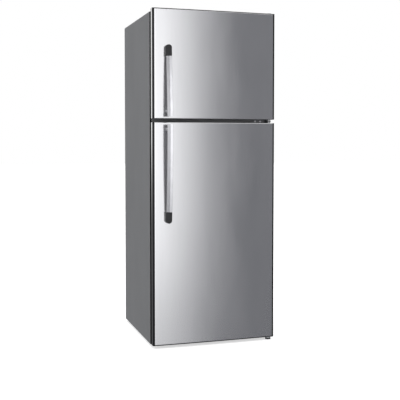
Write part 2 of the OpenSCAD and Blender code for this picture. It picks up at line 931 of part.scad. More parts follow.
// Bar with its hidden foot near the gap, whose centre is at height foot_z
module handle_bar(z0, z1, foot_z, d0, d1) {
    w = bar_w / 2 + over;
    color("silver") union() {
        intersection() {
            bow_bar(z0 - bar_t, z1 + bar_t);
            block(handle_x - w, handle_x + w, -handle_out - over, 0, z0, z1);
        }
        difference() {
            rod(handle_x, foot_z, bar_t / 2 - handle_out, rail_r, grip_foot_r);
            door_body(d0, d1);
        }
    }
}

// Dark end that carries the bar's outer end. dir is 1 at the handle's top and -1 at its bottom.
module handle_cap(z, dir, d0, d1) {
    w = bar_w / 2 + cap_side;
    reach = handle_out - handle_bow + cap_side;
    round_z = z - dir * w;
    end_z = z - dir * grip_cap;
    color("dimgray") difference() {
        union() {
            block(handle_x - w, handle_x + w, -reach, 1, min(round_z, end_z), max(round_z, end_z));
            rod(handle_x, round_z, -reach, 1, w);
        }
        door_body(d0, d1);
    }
}

// Freezer door
module freezer_door_skin() { door_skin(split_top, door_top, 0, cap_show); }

module freezer_door_rails() { door_rails(split_top, door_top); }

module freezer_door_caps() {
    color("black") union() {
        door_cap(door_top, 1, cap_show);
        door_cap(split_top, -1, 0);
    }
}

module freezer_door_core() {
    door_core(split_top, door_top, freezer_floor + dyke_play, freezer_ceiling - dyke_play);
}

module freezer_door_liner() {
    door_liner(split_top, door_top, freezer_floor + dyke_play, freezer_ceiling - dyke_play);
}

module freezer_door_gasket() { gasket(freezer_floor, freezer_ceiling); }

module freezer_door_bins() {
    color("lightblue", 0.6) for (z = [60, 230])
        door_bin(freezer_floor + z, bin_h, bin_d);
}

module freezer_handle() {
    handle_bar(split_top + handle_end, grip_top - grip_cap, split_top + grip_foot_in, split_top,
        door_top);
}

module freezer_handle_cap() { handle_cap(grip_top, 1, split_top, door_top); }

// Refrigerator door
module fridge_door_skin() { door_skin(door_bottom, split_bottom, cap_show, 0); }

module fridge_door_rails() { door_rails(door_bottom, split_bottom); }

module fridge_door_caps() {
    color("black") union() {
        door_cap(split_bottom, 1, 0);
        door_cap(door_bottom, -1, cap_show);
    }
}

module fridge_door_core() {
    door_core(door_bottom, split_bottom, fridge_floor + dyke_play, fridge_ceiling - dyke_play);
}

module fridge_door_liner() {
    door_liner(door_bottom, split_bottom, fridge_floor + dyke_play, fridge_ceiling - dyke_play);
}

module fridge_door_gasket() { gasket(fridge_floor, fridge_ceiling); }

module dairy_bin() {
    color("lightblue", 0.6) difference() {
        door_bin(dairy_z, dairy_h, dairy_d);
        translate([-bin_hw - over, at(lid_d), lid_z]) rotate([0, 90, 0])
            cylinder(r = lid_pin_r + run_play, h = 2 * bin_hw + 2 * over);
    }
}

// Flap over the dairy bin. It turns on two short pins in the bin's ends.
module dairy_lid() {
    play = 1;
    w = bin_hw - bin_wall - play;
    top = dairy_z + dairy_h + play;
    front = door_t + dairy_d + 3;
    color("lightcyan", 0.5) union() {
        block(-w, w, lid_d - 3, front + 2, top, top + 2);
        block(-w, w, front, front + 2, dairy_z + 30, top + 2);
        for (side = [-1, 1])
            scale([side, 1, 1]) {
                block(w - 3, w, lid_d - 4, lid_d + 4, lid_z - 4, top + 1);
                translate([w - 3, at(lid_d), lid_z]) rotate([0, 90, 0])
                    cylinder(r = lid_pin_r, h = 3 + play + bin_wall);
            }
    }
}

module fridge_door_bin() {
    color("lightblue", 0.6) door_bin(lower_shelf_z + 90, bin_h, bin_d);
}

module bottle_bin() {
    color("lightblue", 0.6) door_bin(bottle_z, bottle_h, bin_d + 5);
}

module fridge_handle() {
    handle_bar(grip_bottom + grip_cap, split_bottom - handle_end, split_bottom - grip_foot_in,
        door_bottom, split_bottom);
}

module fridge_handle_cap() { handle_cap(grip_bottom, -1, door_bottom, split_bottom); }

side_panel_left();
side_panel_right();
top_panel();
rear_panel();
base_tray();
mullion_bar();
insulation();
freezer_liner();
fridge_liner();
bay_panel();
compressor_cover();
cord_inlet();
compressor();
compressor_mounts();
condenser_coil();
evaporator();
evaporator_cover();
fan_motor();
fan_blade();
air_duct();
freezer_shelf();
glass_shelves();
shelf_trims();
crisper_frame();
crisper_drawer();
control_housing();
thermostat_knob();
lamp_cover();
top_hinge();
middle_hinge();
bottom_hinge();
hinge_pins();
hinge_screws();
top_hinge_cover();
roller_brackets();
roller_left();
roller_right();
foot_left();
foot_right();
freezer_door_skin();
freezer_door_rails();
freezer_door_caps();
freezer_door_core();
freezer_door_liner();
freezer_door_gasket();
freezer_door_bins();
freezer_handle();
freezer_handle_cap();
fridge_door_skin();
fridge_door_rails();
fridge_door_caps();
fridge_door_core();
fridge_door_liner();
fridge_door_gasket();
dairy_bin();
dairy_lid();
fridge_door_bin();
bottle_bin();
fridge_handle();
fridge_handle_cap();
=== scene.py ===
"""Top freezer refrigerator: its looks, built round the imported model.

Lengths are metres. Z is up, the doors face -Y and their hinges are on the +X side.
"""

import json
import logging
import math
from dataclasses import dataclass
from enum import Enum
from typing import Callable, Iterable, Optional, Sequence, Union

import bmesh
import bpy
from mathutils import Matrix, Vector


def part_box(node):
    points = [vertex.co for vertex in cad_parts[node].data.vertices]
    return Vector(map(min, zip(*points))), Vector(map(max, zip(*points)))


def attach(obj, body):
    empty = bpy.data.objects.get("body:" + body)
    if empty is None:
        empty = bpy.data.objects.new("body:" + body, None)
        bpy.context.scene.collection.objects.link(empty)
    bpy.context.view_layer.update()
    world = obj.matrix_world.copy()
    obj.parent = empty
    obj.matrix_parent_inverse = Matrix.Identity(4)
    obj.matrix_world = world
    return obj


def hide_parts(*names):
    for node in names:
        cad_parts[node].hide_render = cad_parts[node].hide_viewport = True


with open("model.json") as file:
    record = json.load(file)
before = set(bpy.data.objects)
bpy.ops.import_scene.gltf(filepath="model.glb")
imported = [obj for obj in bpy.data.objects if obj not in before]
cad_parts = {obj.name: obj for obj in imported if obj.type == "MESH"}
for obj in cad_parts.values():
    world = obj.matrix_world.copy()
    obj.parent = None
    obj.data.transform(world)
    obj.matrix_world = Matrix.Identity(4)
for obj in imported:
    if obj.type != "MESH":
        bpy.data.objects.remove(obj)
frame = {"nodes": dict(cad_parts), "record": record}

LOG = logging.getLogger("refrigerator")
MM = 0.001
WELD = 0.01 * MM
Point = Sequence[float]
Colour = tuple[float, float, float]
EdgeTest = Callable[[Vector], bool]
Section = Sequence[tuple[float, float]]
Stops = Sequence[tuple[float, float]]
Socket = bpy.types.NodeSocket


class Axis(Enum):
    """A direction of the refrigerator."""

    ACROSS = Vector((1, 0, 0))
    DEEP = Vector((0, 1, 0))
    UP = Vector((0, 0, 1))

    def mirror(self, at: float = 0.0) -> Matrix:
        """The reflection in a plane that stands across this axis."""
        flip = Matrix.Diagonal((*(Vector((1, 1, 1)) - 2 * self.value), 1))
        return Matrix.Translation(self.value * 2 * at) @ flip


# ---------------------------------------------------------------- shapes


def corners_in(grown: Iterable[object]) -> list[bmesh.types.BMVert]:
    """The corners among what an operator returns."""
    return [g for g in grown if isinstance(g, bmesh.types.BMVert)]


class Shape:
    """One closed form, or one sheet, that is being worked."""

    DRUM_SIDES = 48

    def __init__(self, mesh: Optional[bmesh.types.BMesh] = None) -> None:
        """Starts from a mesh, or from nothing."""
        self.mesh = mesh or bmesh.new()

    @classmethod
    def block(cls, low: Point, high: Point) -> "Shape":
        """A box between two corners.

        Args:
            low: Its lowest corner.
            high: Its highest corner.

        Returns:
            The shape.
        """
        shape = cls()
        size = Vector(high) - Vector(low)
        middle = (Vector(high) + Vector(low)) / 2
        place = Matrix.Translation(middle) @ Matrix.Diagonal((*size, 1))
        bmesh.ops.create_cube(shape.mesh, size=1, matrix=place)
        return shape

    @classmethod
    def drum(cls, start: Point, axis: Axis, length: float, radius: float) -> "Shape":
        """A round bar.

        Args:
            start: Centre of its first end.
            axis: Direction in which it runs.
            length: How far it runs.
            radius: Its radius.

        Returns:
            The shape.
        """
        shape = cls()
        turn = axis.value.to_track_quat("Z", "Y").to_matrix().to_4x4()
        place = Matrix.Translation(Vector(start) + axis.value * length / 2) @ turn
        bmesh.ops.create_cone(shape.mesh, cap_ends=True, segments=cls.DRUM_SIDES, radius1=radius,
                              radius2=radius, depth=length, matrix=place)
        return shape

    @classmethod
    def outline(cls, points: Iterable[Point], travel: Point) -> "Shape":
        """A flat outline pushed along a vector.

        Args:
            points: The outline's corners, in order.
            travel: The vector that it is pushed along.

        Returns:
            The closed shape.
        """
        shape = cls()
        face = shape.mesh.faces.new([shape.mesh.verts.new(p) for p in points])
        return shape.push(bmesh.ops.extrude_face_region(shape.mesh, geom=[face])["geom"], travel)

    @classmethod
    def strip(cls, points: Iterable[Point], travel: Point) -> "Shape":
        """An open line of points pushed along a vector into a bent sheet.

        Args:
            points: The line's points, in order.
            travel: The vector that it is pushed along.

        Returns:
            The open sheet.
        """
        shape = cls()
        line = [shape.mesh.verts.new(p) for p in points]
        edges = [shape.mesh.edges.new(pair) for pair in zip(line, line[1:])]
        return shape.push(bmesh.ops.extrude_edge_only(shape.mesh, edges=edges)["geom"], travel)

    @classmethod
    def copy_of(cls, node: str) -> "Shape":
        """A merged copy of a CAD node.

        Args:
            node: The node's name.

        Returns:
            The copy, with its flat faces whole again.
        """
        shape = cls()
        shape.mesh.from_mesh(frame["nodes"][node].data)
        bmesh.ops.remove_doubles(shape.mesh, verts=shape.mesh.verts, dist=WELD)
        bmesh.ops.dissolve_limit(shape.mesh, angle_limit=math.radians(0.4),
                                 verts=shape.mesh.verts, edges=shape.mesh.edges)
        return shape

    def push(self, grown: Iterable[object], travel: Point) -> "Shape":
        """Moves what an extrusion made.

        Args:
            grown: What the extrusion returned.
            travel: The vector that it is moved along.

        Returns:
            This shape, with its faces pointing outwards.
        """
        bmesh.ops.translate(self.mesh, vec=Vector(travel), verts=corners_in(grown))
        bmesh.ops.recalc_face_normals(self.mesh, faces=self.mesh.faces)
        return self

    def bevel(self, width: float, segments: int = 3, along: Optional[Axis] = None,
              where: Optional[EdgeTest] = None, least: float = 25.0) -> "Shape":
        """Rounds edges.

        Args:
            width: Size of the rounding.
            segments: Number of flats across it.
            along: Only edges that run this way.
            where: Only edges whose middle passes this test.
            least: Least angle between an edge's faces, in degrees.

        Returns:
            This shape.
        """
        chosen = []
        for edge in self.mesh.edges:
            if not edge.is_manifold or edge.calc_face_angle(0) < math.radians(least):
                continue
            span = (edge.verts[1].co - edge.verts[0].co).normalized()
            if along and abs(span.dot(along.value)) < 0.99:
                continue
            if where and not where((edge.verts[0].co + edge.verts[1].co) / 2):
                continue
            chosen.append(edge)
        bmesh.ops.bevel(self.mesh, geom=chosen, offset=width, offset_type="OFFSET", segments=segments,
                        profile=0.5, affect="EDGES", material=-1, clamp_overlap=True)
        return self

    def cut(self, axis: Axis, at: float, keep: int = 0) -> "Shape":
        """Cuts by a plane that stands across an axis.

        Args:
            axis: Direction that the plane faces.
            at: Where it stands on that axis.
            keep: 1 to keep what lies past the plane, -1 what lies before it, 0 both.

        Returns:
            This shape.
        """
        geometry = [*self.mesh.verts, *self.mesh.edges, *self.mesh.faces]
        bmesh.ops.bisect_plane(self.mesh, geom=geometry, plane_co=axis.value * at,
                               plane_no=axis.value * (keep or 1), clear_inner=bool(keep))
        return self

    def close(self) -> "Shape":
        """Fills the open ends."""
        bmesh.ops.holes_fill(self.mesh, edges=[e for e in self.mesh.edges if e.is_boundary])
        return self

    def keep_faces(self, test: EdgeTest) -> "Shape":
        """Keeps only some faces.

        Args:
            test: What the middle of a face must pass to stay.

        Returns:
            This shape.
        """
        spare = [f for f in self.mesh.faces if not test(f.calc_center_median())]
        bmesh.ops.delete(self.mesh, geom=spare, context="FACES")
        return self

    def open_side(self, outward: Point) -> "Shape":
        """Takes away the faces that look in one direction.

        Args:
            outward: The direction.

        Returns:
            This shape, open on that side.
        """
        aim = Vector(outward)
        gone = [f for f in self.mesh.faces if f.normal.dot(aim) > 0.99]
        bmesh.ops.delete(self.mesh, geom=gone, context="FACES_ONLY")
        loose = [e for e in self.mesh.edges if not e.link_faces]
        bmesh.ops.delete(self.mesh, geom=loose, context="EDGES")
        return self

    def face_towards(self, outward: Point) -> "Shape":
        """Turns a sheet so that most of it looks in one direction.

        Args:
            outward: The direction.

        Returns:
            This shape.
        """
        aim = Vector(outward)
        if sum(f.normal.dot(aim) * f.calc_area() for f in self.mesh.faces) < 0:
            bmesh.ops.reverse_faces(self.mesh, faces=self.mesh.faces)
        return self

    def both_sides(self) -> list["Shape"]:
        """This shape and its twin on the other side of the middle.

        Returns:
            The two shapes.
        """
        twin = Shape(self.mesh.copy())
        bmesh.ops.transform(twin.mesh, matrix=Axis.ACROSS.mirror(), verts=twin.mesh.verts)
        bmesh.ops.reverse_faces(twin.mesh, faces=twin.mesh.faces)
        return [self, twin]


def into_object(name: str, shapes: Iterable[Shape], sharp: float = 38.0) -> bpy.types.Object:
    """Joins shapes into one object.

    Args:
        name: The object's name.
        shapes: What it is made of.
        sharp: Angle in degrees past which an edge stays sharp.

    Returns:
        The object, at the origin.
    """
    whole = bmesh.new()
    for shape in shapes:
        loose = bpy.data.meshes.new("loose")
        shape.mesh.to_mesh(loose)
        whole.from_mesh(loose)
        bpy.data.meshes.remove(loose)
        shape.mesh.free()
    mesh = bpy.data.meshes.new(name)
    for face in whole.faces:
        face.smooth = True
    whole.to_mesh(mesh)
    whole.free()
    mesh.set_sharp_from_angle(angle=math.radians(sharp))
    made = bpy.data.objects.new(name, mesh)
    bpy.context.scene.collection.objects.link(made)
    return made


def even_shading(piece: bpy.types.Object) -> None:
    """Lets large flat faces keep their own normals beside rounded edges.

    Args:
        piece: The piece.
    """
    weighted = piece.modifiers.new("even shading", "WEIGHTED_NORMAL")
    weighted.keep_sharp = True
    weighted.weight = 100


# ---------------------------------------------------------------- finishes


class Cells(Enum):
    """What a pattern of cells gives."""

    TONES = "F1"
    WALLS = "DISTANCE_TO_EDGE"


class Wiring:
    """The shader nodes of one finish."""

    def __init__(self, name: str) -> None:
        """Makes the material and its coordinates.

        Args:
            name: The material's name.
        """
        self.material = bpy.data.materials.new(name)
        self.material.use_nodes = True
        self.tree = self.material.node_tree
        self.shader = self.tree.nodes["Principled BSDF"]
        self.place = self.add("ShaderNodeTexCoord").outputs["Object"]

    def add(self, kind: str, **settings: object) -> bpy.types.Node:
        """Adds a node.

        Args:
            kind: The node's type.
            settings: Its options.

        Returns:
            The node.
        """
        node = self.tree.nodes.new(kind)
        for key, value in settings.items():
            setattr(node, key, value)
        return node

    def join(self, source: Socket, target: Socket) -> None:
        """Joins two sockets."""
        self.tree.links.new(source, target)

    def set(self, **values: object) -> None:
        """Sets the shader's own sockets. An underscore stands for a space."""
        for key, value in values.items():
            self.shader.inputs[key.replace("_", " ")].default_value = value

    def stretched(self, scale: Point) -> Socket:
        """Coordinates scaled along each axis.

        Args:
            scale: Scale along each axis, per metre.

        Returns:
            The coordinates.
        """
        mapping = self.add("ShaderNodeMapping")
        mapping.inputs["Scale"].default_value = scale
        self.join(self.place, mapping.inputs["Vector"])
        return mapping.outputs["Vector"]

    def noise(self, scale: Point, detail: float = 3.0, rough: float = 0.55) -> Socket:
        """Cloudy noise.

        Args:
            scale: Lumps per metre along each axis.
            detail: How many finer layers it has.
            rough: How strong they are.

        Returns:
            The pattern.
        """
        node = self.add("ShaderNodeTexNoise")
        for key, number in (("Scale", 1.0), ("Detail", detail), ("Roughness", rough)):
            node.inputs[key].default_value = number
        self.join(self.stretched(scale), node.inputs["Vector"])
        return node.outputs["Fac"]

    def cells(self, scale: Point, gives: Cells = Cells.TONES) -> Socket:
        """Crystals or pores.

        Args:
            scale: Cells per metre along each axis.
            gives: Whether each cell has a tone of its own, or the walls between cells show.

        Returns:
            The pattern.
        """
        node = self.add("ShaderNodeTexVoronoi", feature=gives.value)
        node.inputs["Scale"].default_value = 1.0
        self.join(self.stretched(scale), node.inputs["Vector"])
        return node.outputs["Color" if gives is Cells.TONES else "Distance"]

    def spread(self, pattern: Socket, low: float, high: float) -> Socket:
        """Maps the middle range of a pattern onto another range.

        Args:
            pattern: The pattern.
            low: What its darker parts become.
            high: What its lighter parts become.

        Returns:
            The new value.
        """
        node = self.add("ShaderNodeMapRange")
        for key, number in (("From Min", 0.3), ("From Max", 0.7), ("To Min", low), ("To Max", high)):
            node.inputs[key].default_value = number
        self.join(pattern, node.inputs["Value"])
        return node.outputs["Result"]

    def tint(self, pattern: Socket, dark: Point, light: Point) -> None:
        """Colours the surface between two tones.

        Args:
            pattern: What says which tone shows where.
            dark: The first tone.
            light: The second tone.
        """
        ramp = self.add("ShaderNodeValToRGB")
        for stop, place, colour in zip(ramp.color_ramp.elements, (0.3, 0.7), (dark, light)):
            stop.position = place
            stop.color = (*colour, 1)
        self.join(pattern, ramp.inputs["Fac"])
        self.join(ramp.outputs["Color"], self.shader.inputs["Base Color"])

    def relief(self, *layers: tuple[Socket, float]) -> None:
        """Adds bumps.

        Args:
            layers: Each one a pattern and its height in metres.
        """
        normal = None
        for pattern, height in layers:
            node = self.add("ShaderNodeBump")
            node.inputs["Distance"].default_value = height
            node.inputs["Strength"].default_value = 1.0
            self.join(pattern, node.inputs["Height"])
            if normal:
                self.join(normal, node.inputs["Normal"])
            normal = node.outputs["Normal"]
        self.join(normal, self.shader.inputs["Normal"])

    def gloss(self, pattern: Socket, low: float, high: float) -> None:
        """Varies the roughness between two values by a pattern."""
        self.join(self.spread(pattern, low, high), self.shader.inputs["Roughness"])


def shade(colour: Colour, factor: float) -> Colour:
    """A colour made darker or lighter by a factor."""
    return tuple(min(1.0, c * factor) for c in colour)


@dataclass(frozen=True)
class Finish:
    """A surface finish: a name, the record's slot that it belongs to, a tone and a roughness."""

    name: str
    slot: str
    colour: Colour
    roughness: float

    def wire(self, wiring: Wiring) -> None:
        """Adds the finish's own pattern to plain wiring."""

    def material(self) -> bpy.types.Material:
        """The finish's material, made once.

        Returns:
            The material.
        """
        known = bpy.data.materials.get(self.name)
        if known:
            return known
        wiring = Wiring(self.name)
        wiring.set(Roughness=self.roughness)
        self.wire(wiring)
        return wiring.material


@dataclass(frozen=True)
class BrushedSteel(Finish):
    """Stainless sheet with a fine grain that runs up and down."""

    grain: float = 1400.0

    def wire(self, wiring: Wiring) -> None:
        """Fine upright lines, a slow drift of tone and faint smears."""
        lines = wiring.noise((self.grain, self.grain, 6.0), 4.0, 0.6)
        drift = wiring.noise((9.0, 9.0, 2.2), 2.0)
        wiring.tint(lines, shade(self.colour, 0.97), shade(self.colour, 1.03))
        wiring.gloss(drift, self.roughness - 0.02, self.roughness + 0.02)
        wiring.relief((lines, 0.0006 * MM))
        wiring.set(Metallic=1.0)


@dataclass(frozen=True)
class DrawnMetal(Finish):
    """Plain drawn or plated metal with faint scratches along its length."""

    length: tuple[float, float, float] = (700.0, 700.0, 20.0)

    def wire(self, wiring: Wiring) -> None:
        """Faint long scratches and a slow change of gloss."""
        lines = wiring.noise(self.length, 3.0)
        drift = wiring.noise((22.0, 22.0, 22.0), 2.0)
        wiring.tint(drift, shade(self.colour, 0.94), shade(self.colour, 1.04))
        wiring.gloss(lines, self.roughness - 0.05, self.roughness + 0.06)
        wiring.relief((lines, 0.006 * MM))
        wiring.set(Metallic=1.0)


@dataclass(frozen=True)
class Galvanised(Finish):
    """Zinc-coated sheet with its spangle."""

    def wire(self, wiring: Wiring) -> None:
        """Crystals of slightly different grey."""
        spangle = wiring.cells((95.0, 95.0, 95.0))
        wiring.tint(spangle, shade(self.colour, 0.95), shade(self.colour, 1.04))
        wiring.gloss(spangle, self.roughness - 0.025, self.roughness + 0.025)
        wiring.relief((wiring.noise((60.0, 60.0, 60.0), 3.0), 0.004 * MM))
        wiring.set(Metallic=1.0)


@dataclass(frozen=True)
class PaintedSheet(Finish):
    """Baked paint with a very fine orange peel."""

    peel: float = 0.02
    shine: float = 0.5

    def wire(self, wiring: Wiring) -> None:
        """Orange peel, and a slow drift of tone over the sheet."""
        peel = wiring.noise((480.0, 480.0, 480.0), 2.0)
        drift = wiring.noise((5.0, 5.0, 3.0), 2.0)
        wiring.tint(drift, shade(self.colour, 0.97), shade(self.colour, 1.03))
        wiring.gloss(peel, self.roughness - 0.04, self.roughness + 0.04)
        wiring.relief((peel, self.peel * MM))
        wiring.set(Specular_IOR_Level=self.shine)


@dataclass(frozen=True)
class GlossPlastic(Finish):
    """Polished plastic with hardly any texture."""

    index: float = 1.5

    def wire(self, wiring: Wiring) -> None:
        """Faint flow marks and slight smears."""
        flow = wiring.noise((30.0, 30.0, 8.0), 2.0)
        smear = wiring.noise((90.0, 90.0, 40.0), 3.0)
        wiring.tint(flow, shade(self.colour, 0.9), shade(self.colour, 1.1))
        wiring.gloss(smear, self.roughness - 0.02, self.roughness + 0.03)
        wiring.relief((flow, 0.01 * MM))
        wiring.set(IOR=self.index)


@dataclass(frozen=True)
class MouldedPlastic(Finish):
    """Plastic with the fine spark texture of its mould."""

    spark: float = 0.02

    def wire(self, wiring: Wiring) -> None:
        """Spark texture and a slow drift of tone."""
        spark = wiring.noise((1100.0, 1100.0, 1100.0), 2.0)
        drift = wiring.noise((14.0, 14.0, 14.0), 2.0)
        wiring.tint(drift, shade(self.colour, 0.96), shade(self.colour, 1.03))
        wiring.gloss(spark, self.roughness - 0.05, self.roughness + 0.06)
        wiring.relief((spark, self.spark * MM))


@dataclass(frozen=True)
class FormedSheet(Finish):
    """Vacuum-formed plastic: satin, with soft waves where it was drawn."""

    def wire(self, wiring: Wiring) -> None:
        """Soft waves and a hint of thinner, darker stretches."""
        waves = wiring.noise((11.0, 11.0, 11.0), 2.0)
        grain = wiring.noise((700.0, 700.0, 700.0), 2.0)
        wiring.tint(waves, shade(self.colour, 0.975), shade(self.colour, 1.01))
        wiring.gloss(grain, self.roughness - 0.04, self.roughness + 0.05)
        wiring.relief((grain, 0.008 * MM), (waves, 0.4 * MM))


@dataclass(frozen=True)
class ClearPlastic(Finish):
    """Clear or frosted moulded plastic."""

    passing: float = 0.9

    def wire(self, wiring: Wiring) -> None:
        """Flow lines that bend the light a little."""
        flow = wiring.noise((40.0, 40.0, 15.0), 2.0)
        wiring.tint(flow, shade(self.colour, 0.97), shade(self.colour, 1.0))
        wiring.gloss(wiring.noise((120.0, 120.0, 120.0), 2.0), self.roughness, self.roughness + 0.05)
        wiring.relief((flow, 0.05 * MM))
        wiring.set(Transmission_Weight=self.passing, IOR=1.49)


@dataclass(frozen=True)
class Foam(Finish):
    """Rigid foam with open cells on its skin."""

    def wire(self, wiring: Wiring) -> None:
        """Small cells and larger darker patches."""
        cells = wiring.cells((420.0, 420.0, 420.0), Cells.WALLS)
        patches = wiring.noise((16.0, 16.0, 16.0), 3.0)
        wiring.tint(patches, shade(self.colour, 0.85), shade(self.colour, 1.05))
        wiring.relief((cells, 0.4 * MM))


@dataclass(frozen=True)
class Rubber(Finish):
    """Soft rubber or vinyl with a dull bloom."""

    shine: float = 0.5

    def wire(self, wiring: Wiring) -> None:
        """Bloom and a fine grain."""
        bloom = wiring.noise((26.0, 26.0, 26.0), 3.0)
        grain = wiring.noise((900.0, 900.0, 900.0), 2.0)
        wiring.tint(bloom, shade(self.colour, 0.9), shade(self.colour, 1.08))
        wiring.gloss(bloom, self.roughness - 0.06, self.roughness + 0.06)
        wiring.relief((grain, 0.02 * MM))
        wiring.set(Specular_IOR_Level=self.shine)


STEEL_SKIN = BrushedSteel("brushed_steel_skin", "brushed_skin", (0.66, 0.66, 0.67), 0.16)
BLACK_TRIM = GlossPlastic("black_gloss_trim", "black_gloss", (0.008, 0.008, 0.009), 0.09, 1.32)
CABINET_PAINT = PaintedSheet("cabinet_grey_paint", "painted_grey", (0.242, 0.245, 0.249), 0.75, 0.012, 0.1)
BAR_SILVER = DrawnMetal("bar_satin_silver", "satin_silver", (0.80, 0.80, 0.82), 0.22)
# Near-black with no shine at all: painted shade, used where the door seam lies in shadow, on the rails'
# rear part and on the cabinet's front flange.
SEAM_SHADE_BLACK = Rubber("painted_seam_shade_black", "black_gloss", (0.006, 0.006, 0.006), 0.9, 0.0)
CAP_GREY = GlossPlastic("handle_cap_plastic", "dark_cap", (0.036, 0.036, 0.038), 0.35, 1.36)
# Near-black band along the handle's sides: painted shade of the bar's sides.
BAR_SIDE_SHADE = GlossPlastic("painted_bar_side_shade", "dark_cap", (0.03, 0.03, 0.032), 0.5, 1.3)
BACK_GREY = MouldedPlastic("handle_back_plastic", "dark_cap", (0.62, 0.62, 0.63), 0.6)
ZINC = Galvanised("zinc_coated_sheet", "zinc_steel", (0.55, 0.56, 0.57), 0.42)
DARK_SHEET = PaintedSheet("dark_rear_sheet", "dark_sheet", (0.035, 0.035, 0.037), 0.55)
LINER_WHITE = FormedSheet("formed_white_liner", "white_liner", (0.80, 0.815, 0.82), 0.32)
WHITE_PLASTIC = MouldedPlastic("moulded_white_plastic", "white_plastic", (0.77, 0.785, 0.79), 0.4)
CLEAR = ClearPlastic("clear_bin_plastic", "clear_plastic", (0.90, 0.955, 0.97), 0.06)
FROSTED = ClearPlastic("frosted_lamp_plastic", "frosted_plastic", (0.95, 0.95, 0.93), 0.35, 0.6)
GLASS = ClearPlastic("shelf_glass", "shelf_glass", (0.86, 0.95, 0.93), 0.02, 1.0)
FOAM = Foam("rigid_foam", "rigid_foam", (0.72, 0.62, 0.33), 0.9)
SEAL = Rubber("grey_seal", "seal_grey", (0.33, 0.34, 0.35), 0.6)
BLACK_RUBBER = Rubber("black_rubber", "black_rubber", (0.02, 0.02, 0.02), 0.7)
ENAMEL = PaintedSheet("black_enamel", "black_enamel", (0.012, 0.012, 0.013), 0.32, 0.05)
FIN_METAL = DrawnMetal("fin_aluminium", "fin_aluminium", (0.82, 0.83, 0.84), 0.3)
GREY_PLASTIC = MouldedPlastic("moulded_grey_plastic", "grey_plastic", (0.12, 0.125, 0.13), 0.42)
DARK_PLASTIC = MouldedPlastic("moulded_dark_plastic", "dark_plastic", (0.02, 0.02, 0.021), 0.5, 0.03)
HINGE_METAL = DrawnMetal("plated_hinge_steel", "hinge_steel", (0.58, 0.59, 0.60), 0.34)
SHADED_METAL = DrawnMetal("dark_hinge_steel", "hinge_steel", (0.16, 0.16, 0.165), 0.4)
PIN_METAL = DrawnMetal("pin_steel", "pin_steel", (0.50, 0.50, 0.51), 0.28)


# ---------------------------------------------------------------- sub-assemblies


@dataclass
class Assembly:
    """What every sub-assembly shares: the body that it rides on."""

    body: str

    def place(self, name: str, shapes: Iterable[Shape], finish: Finish, *nodes: str,
              sharp: float = 38.0, sheet: float = 0.0) -> bpy.types.Object:
        """Turns shapes into a finished piece of this body.

        Args:
            name: The piece's name.
            shapes: What it is made of.
            finish: Its finish.
            nodes: The CAD nodes that it stands for.
            sharp: Angle in degrees past which an edge stays sharp.
            sheet: Thickness given to an open sheet, inwards from its faces.

        Returns:
            The piece.
        """
        piece = into_object(name, shapes, sharp)
        if sheet:
            thickened = piece.modifiers.new("sheet", "SOLIDIFY")
            thickened.thickness = sheet
            thickened.offset = -1
        piece.data.materials.append(finish.material())
        even_shading(piece)
        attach(piece, self.body)
        if nodes:
            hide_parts(*nodes)
        count = sum(len(p.vertices) - 2 for p in piece.data.polygons)
        LOG.info("%s: %d triangles, on %s", name, count, self.body)
        return piece

    def refine(self, node: str, finish: Finish, edge: float) -> bpy.types.Object:
        """Stands a softened copy in for a CAD node.

        Args:
            node: The CAD node.
            finish: Its finish.
            edge: Size of the rounding on its edges.

        Returns:
            The piece.
        """
        soft = Shape.copy_of(node).bevel(edge, 2)
        return self.place(node + "_finished", [soft], finish, node)


